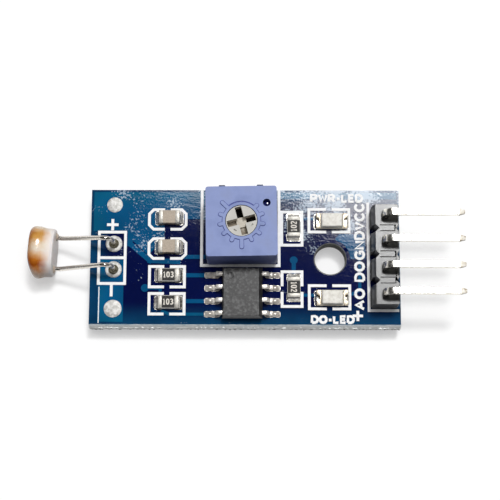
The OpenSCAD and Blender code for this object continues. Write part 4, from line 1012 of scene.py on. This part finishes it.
class LIGHTSENSOR_OT_comparator(Operator):
    """Makes the comparator: its moulded body, eight gull-wing leads and their solder"""
    bl_idname = "light_sensor.comparator"
    bl_label = "Comparator"

    def execute(self, context):
        # Transfer-moulded epoxy: dark grey, sandblasted mould finish, mottled
        compound = plain_grain("epoxy_moulded", 0.24, ("#1a1a1a", "#363636", "#626262"),
                               (0.34, 0.54), 0.01, contrast=0.14)
        # The drafted sides are painted near black, darker than the top: painted shade
        shaded_sides = plain_grain("epoxy_drafted_shaded", 0.3, ("#080808", "#121212"), (0.35, 0.5), 0.004)
        bm = copy_of("comparator_body")
        assign(bm, lambda n, p: abs(n.z) <= 0.9)
        finish_piece(bm, "comparator_case", (compound, shaded_sides), "moulding_compound",
                     replaces=("comparator_body",), rounding=0.035)
        # Tin-plated copper alloy, stamped and bent: satin, pale
        plated = plain_grain("tin_plated_lead", 0.5, ("#d5cfc5", "#f0ece6"), (0.26, 0.36), 0.001,
                             Metallic=0.5)
        leads = [f"comparator_lead_{i}" for i in range(1, 9)]
        for i, node in enumerate(leads, 1):
            refine(node, f"gull_wing_{i}", plated, "tinned_copper", 0.025)
        # The solder is drawn up over each toe as a smooth drop, with a flatter one behind it
        bm = copy_of("comparator_solder")
        soften(bm, 0.02)
        middle = sum(node_box("comparator_body"), Vector()) / 2
        for node in leads:
            low, high = node_box(node)
            side, toe = (-1, low.x) if low.x + high.x < 2 * middle.x else (1, high.x)
            for out, long, wide, tall in ((0.12, 0.4, 0.31, 0.27), (-0.5, 0.42, 0.31, 0.12)):
                ball = bmesh.ops.create_uvsphere(bm, u_segments=24, v_segments=12, radius=1)
                at = (toe + side * out, (low.y + high.y) / 2, PAD_TOP + 0.01)
                sized(bm, ball["verts"], (long, wide, tall), at)
        fillet = drawn_solder_material("solder_toe")
        finish_piece(bm, "lead_fillets", (fillet,), "solder", replaces=("comparator_solder",))
        return {"FINISHED"}


# Small chips

class LIGHTSENSOR_OT_chips(Operator):
    """Makes the capacitors and resistors with their terminals, value codes and solder"""
    bl_idname = "light_sensor.chips"
    bl_label = "Chips"

    def execute(self, context):
        # Fired titanate ceramic: tan, semi-gloss, fine grain
        titanate = plain_grain("titanate_fired", 0.12, ("#988a78", "#b3a492"), (0.32, 0.48), 0.004)
        # Fired thick-film glaze: brown-black glass with a faint orange peel
        glaze = plain_grain("glaze_fired", 0.15, ("#191716", "#262321"), (0.48, 0.6), 0.003)
        substrate = plain_grain("alumina_substrate", 0.15, ("#dcd8d0", "#eeece6"), 0.5, 0.004)
        tin = plain_grain("terminal_plated", 0.25, ("#a9a59c", "#dcd9d1"), (0.34, 0.5), 0.003,
                          Metallic=0.45)
        code = plain_grain("code_ink", 0.2, ("#d2ccc0", "#e6e1d8"), 0.6, 0.003)
        for i in (1, 2):
            chip = f"capacitor_{i}"
            refine(f"{chip}_body", f"{chip}_chip", titanate, "capacitor_ceramic", 0.03)
            refine(f"{chip}_ends", f"{chip}_caps", tin, "tinned_copper", 0.018)
        length, height = 0.92, 0.5
        for i, turn, text in ((1, 0, "103"), (2, 0, "103"), (3, 90, "102"), (4, -90, "102")):
            chip = f"resistor_{i}"
            dress(substrate, f"{chip}_body")
            refine(f"{chip}_coat", f"{chip}_glaze", glaze, "resistor_glaze", 0.03)
            refine(f"{chip}_ends", f"{chip}_caps", tin, "tinned_copper", 0.018)
            low, high = node_box(f"{chip}_coat")
            along = toward(math.radians(turn))
            start = (low + high).xy / 2 - along * length / 2 - along.orthogonal() * height / 2
            bm = printed(lettering(text, start, length, height, turn), 0.12, high.z - 0.01,
                         high.z + 0.01)
            finish_piece(bm, f"{chip}_code", (code,), "printed_ink")
        refine("chip_solder", "chip_fillets", solder_material("solder_chip_fillet"), "solder", 0.03)
        return {"FINISHED"}


# Indicator lamps

class LIGHTSENSOR_OT_lamps(Operator):
    """Makes the two indicator lamps: laminate bases, milky lenses and plated ends"""
    bl_idname = "light_sensor.lamps"
    bl_label = "Lamps"

    def execute(self, context):
        # Moulded epoxy, unlit: milky white, faintly see-through, satin
        lens = plain_grain("lamp_epoxy_moulded", 0.3, ("#c6c2b8", "#dbd8d0", "#eae8e2"),
                           (0.38, 0.55), 0.004, Subsurface_Weight=0.4,
                           Subsurface_Radius=(0.0008, 0.0008, 0.0007), Subsurface_Scale=0.5)
        # White laminate, pressed and sawn
        base = plain_grain("lamp_laminate_pressed", 0.15, ("#d8cfbb", "#ece5d6"), 0.6, 0.006)
        # Gold over copper, plated: pale and warm
        gold = plain_grain("lamp_plating", 0.2, ("#d8c4a4", "#f0e6d4"), (0.3, 0.45), 0.006,
                           Metallic=0.8)
        for lamp in ("power_lamp", "signal_lamp"):
            refine(f"{lamp}_base", f"{lamp}_board", base, "lamp_laminate", 0.02)
            refine(f"{lamp}_lens", f"{lamp}_window", lens, "lamp_resin", 0.13, segments=3, sharp=20)
            refine(f"{lamp}_ends", f"{lamp}_terminals", gold, "tinned_copper", 0.012)
        return {"FINISHED"}


# Header

class LIGHTSENSOR_OT_header(Operator):
    """Makes the pin header: its notched block and the four bent square pins"""
    bl_idname = "light_sensor.header"
    bl_label = "Header"

    def execute(self, context):
        looks = context.scene.light_sensor_header
        # Moulded glass-filled polyester: black, with a strong sheen on its fine grain
        bm = copy_of("header_block")
        low, high = node_box("header_block")
        plastic, tree, shade = start_material("header_moulded", looks.plastic, 0.32, IOR=1.8)
        grain = mottle(tree, shade, 0.12, rough=(0.28, 0.38), bump=0.003)
        # Its top face is painted greyer, flecked by the grain: a painted sheen
        place = add_node(tree, "TexCoord").outputs["Object"]
        split = add_node(tree, "SeparateXYZ", [place])
        sheen_crown = add_node(tree, "MapRange", [
            split.outputs[2], (high.z - 0.12) * MM, (high.z - 0.05) * MM, 0.0, 1.0])
        fibres = add_node(tree, "MapRange", [grain, *CLOUD_SPAN, 0.75, 1.25])
        # Below the pins it stays black, in strips that repeat at the pins' pitch: painted shadows
        # of the pins
        south = add_node(tree, "Math", [split.outputs[1], 0.18 * MM], operation="ADD")
        beat = add_node(tree, "Math", [south, PIN_PITCH / 2 * MM], operation="PINGPONG")
        strip = add_node(tree, "MapRange", [beat, 0.66 * MM, 0.86 * MM, 1.0, 0.0])
        foot = pin_place("header_pin_1")[0]
        west = add_node(tree, "MapRange", [
            split.outputs[0], (foot - 0.55) * MM, (foot - 0.35) * MM, 1.0, 0.0])
        bare = add_node(tree, "Math", [strip, west], operation="MAXIMUM")
        dull = add_node(tree, "Math", [bare, sheen_crown], operation="MULTIPLY")
        # Painted sheen: the top face's grey mixed into the block's black
        grey = add_node(tree, "Mix", {0: dull, 6: linear(looks.plastic), 7: linear("#565656")},
                        data_type="RGBA")
        speckled = add_node(tree, "VectorMath", {0: grey.outputs[2], "Scale": fibres},
                            operation="SCALE")
        tree.links.new(speckled.outputs[0], shade.inputs["Base Color"])
        soften(bm, looks.rounding / MM,
               lambda p: min(p.x - low.x, high.x - p.x) < 0.75 or abs(p.y) > high.y - 0.1)
        # Its ends are cut through the notches of a longer strip, and are matt and black. The wall
        # toward the board is matt, and painted the same black: painted shade
        cut = plain_grain("header_matt_side_shaded", 0.15, ("#09090a", "#141415"), 0.6, 0.008)
        assign(bm, lambda n, p: n.x < -0.96 or abs(n.y) > 0.7 and abs(p.y) > high.y - 0.6)
        finish_piece(bm, "header_case", (plastic, cut), "header_plastic",
                     replaces=("header_block",))
        # Brass wire, tin over nickel plated: very bright, drawn flats
        plated = plain_grain("pin_plated", 0.3, ("#ece7da", "#faf8f2"), (0.18, 0.3), 0.004,
                             Metallic=1.0)
        # The coined tips are duller, with brown marks where the plating is thin
        coined = plain_grain("pin_tip_coined", 0.25, ("#8f7a55", "#efe8da", "#faf8f2"), (0.4, 0.6),
                             0.004, Metallic=0.15)
        for i in range(1, 5):
            bm = copy_of(f"header_pin_{i}")
            tip = node_box(f"header_pin_{i}")[1].x - 0.6
            assign(bm, lambda n, p: p.x > tip and abs(n.x) > 0.1)
            finish_piece(bm, f"square_pin_{i}", (plated, coined), "pin_metal",
                         replaces=(f"header_pin_{i}",), rounding=0.045)
        return {"FINISHED"}


# Solder joints

class LIGHTSENSOR_OT_joints(Operator):
    """Makes the solder joints of the leads and pins, and the two soldered test pads"""
    bl_idname = "light_sensor.joints"
    bl_label = "Solder joints"

    def execute(self, context):
        solder = solder_material()
        bm = bmesh.new()
        cell_holes = [(HOLE_X, CELL_MIDDLE_Y + side * CELL_PITCH / 2) for side in (-1, 1)]
        # Below the board, a cone of solder runs down each lead or pin: ring, wire, height
        spots = [(at, 0.88, 0.23, 0.78) for at in cell_holes]
        spots += [(pin_place(f"header_pin_{i}"), 0.9, 0.4, 0.8) for i in range(1, 5)]
        spots += [(pin_place(f"trimmer_pin_{i}"), 0.8, 0.25, 0.8) for i in range(1, 4)]
        for at, ring, wire, tall in spots:
            profile = [(wire - 0.05, -tall), (wire + 0.07, 0.03 - tall), (wire + 0.13, -0.7 * tall),
                       (wire + 0.24, -0.42 * tall), (ring - 0.22, -0.16 * tall),
                       (ring - 0.05, -0.03), (ring, 0.03), (wire - 0.05, 0.05),
                       (wire - 0.05, -tall)]
            turned(bm, [(radius, PAD_LOW + z) for radius, z in profile], at)
        # Above it, the photocell's leads stand in flat rings with a small cone
        for at in cell_holes:
            profile = [(0.17, 0.3), (0.27, 0.27), (0.32, 0.17), (0.38, 0.1), (0.48, 0.06),
                       (0.58, 0.05), (0.66, 0.065), (0.74, 0.06), (0.8, 0.02)]
            turned(bm, [*((radius, PAD_TOP + z) for radius, z in profile),
                        (0.82, TOP - 0.01), (0.17, TOP), (0.17, PAD_TOP + 0.3)], at, 48)
        pads = ((BOARD_HIGH.y - TEST_PAD_INSET, 0.75), (BOARD_LOW.y + TEST_PAD_INSET, 0.85))
        frosted = plain_grain("test_pad_frosted", 0.3, ("#a9a7a2", "#cccbc7", "#e8e7e4"),
                              (0.4, 0.6), 0.008, contrast=0.16, Metallic=0.3)
        # Flux resin has run down the leads and browns the hollow of their joints. The hollow's dark
        # colour is also a painted reflection of the dark room
        fluxed = plain_grain("solder_fluxed_darkened", 0.3, ("#4e4936", "#8f8a76"), (0.2, 0.32), 0.004,
                             Metallic=0.6)
        for y, ring in pads:
            profile = [(0, 0.06), (0.4 * ring, 0.062), (0.7 * ring, 0.05), (0.9 * ring, 0.03),
                       (ring, 0.015)]
            turned(bm, [*((radius, PAD_TOP + z) for radius, z in profile),
                        (ring + 0.02, TOP - 0.01), (0, TOP)], (HOLE_X, y), 48)
            turned(bm, [(0, PAD_LOW - 0.2), (0.35, PAD_LOW - 0.18), (0.6, PAD_LOW - 0.08),
                        (0.75, PAD_LOW + 0.01), (0, PAD_LOW + 0.02)], (HOLE_X, y))

        def joint_finish(normal, middle):
            if middle.z <= TOP - 0.02:
                return 0
            at_pad = min(abs(middle.y - y) for y, _ in pads) < 1.0
            out = min((middle.xy - Vector(at)).length for at in cell_holes)
            return 1 if at_pad or out > 0.5 else 2

        assign(bm, joint_finish)
        finish_piece(bm, "solder_joints", (solder, frosted, fluxed), "solder",
                     replaces=("pin_solder",), sharp=60)
        return {"FINISHED"}


# Panel and registration

class LIGHTSENSOR_PT_panel(Panel):
    """Lists the pieces of the light sensor module"""
    bl_label = "Light sensor"
    bl_space_type = "VIEW_3D"
    bl_region_type = "UI"
    bl_category = "Light sensor"

    def draw(self, context):
        for operator in OPERATORS:
            self.layout.operator(operator.bl_idname)
        for group, _ in GROUPS:
            looks = getattr(context.scene, group)
            for name in looks.__annotations__:
                self.layout.prop(looks, name)


GROUPS = (
    ("light_sensor_board", BoardLooks), ("light_sensor_photocell", PhotocellLooks),
    ("light_sensor_trimmer", TrimmerLooks), ("light_sensor_header", HeaderLooks),
    ("light_sensor_stage", StageLooks),
)
OPERATORS = (
    LIGHTSENSOR_OT_stage, LIGHTSENSOR_OT_board, LIGHTSENSOR_OT_legend, LIGHTSENSOR_OT_photocell,
    LIGHTSENSOR_OT_trimmer, LIGHTSENSOR_OT_comparator, LIGHTSENSOR_OT_chips, LIGHTSENSOR_OT_lamps,
    LIGHTSENSOR_OT_header, LIGHTSENSOR_OT_joints,
)


def register():
    for name, group in GROUPS:
        bpy.utils.register_class(group)
        setattr(bpy.types.Scene, name, PointerProperty(type=group))
    for operator in OPERATORS:
        bpy.utils.register_class(operator)
    bpy.utils.register_class(LIGHTSENSOR_PT_panel)


def unregister():
    bpy.utils.unregister_class(LIGHTSENSOR_PT_panel)
    for operator in reversed(OPERATORS):
        bpy.utils.unregister_class(operator)
    for name, group in reversed(GROUPS):
        delattr(bpy.types.Scene, name)
        bpy.utils.unregister_class(group)


def main():
    register()
    for step in (bpy.ops.light_sensor.stage, bpy.ops.light_sensor.board,
                 bpy.ops.light_sensor.legend, bpy.ops.light_sensor.photocell,
                 bpy.ops.light_sensor.trimmer, bpy.ops.light_sensor.comparator,
                 bpy.ops.light_sensor.chips, bpy.ops.light_sensor.lamps,
                 bpy.ops.light_sensor.header, bpy.ops.light_sensor.joints):
        step()


if __name__ == "__main__":
    main()
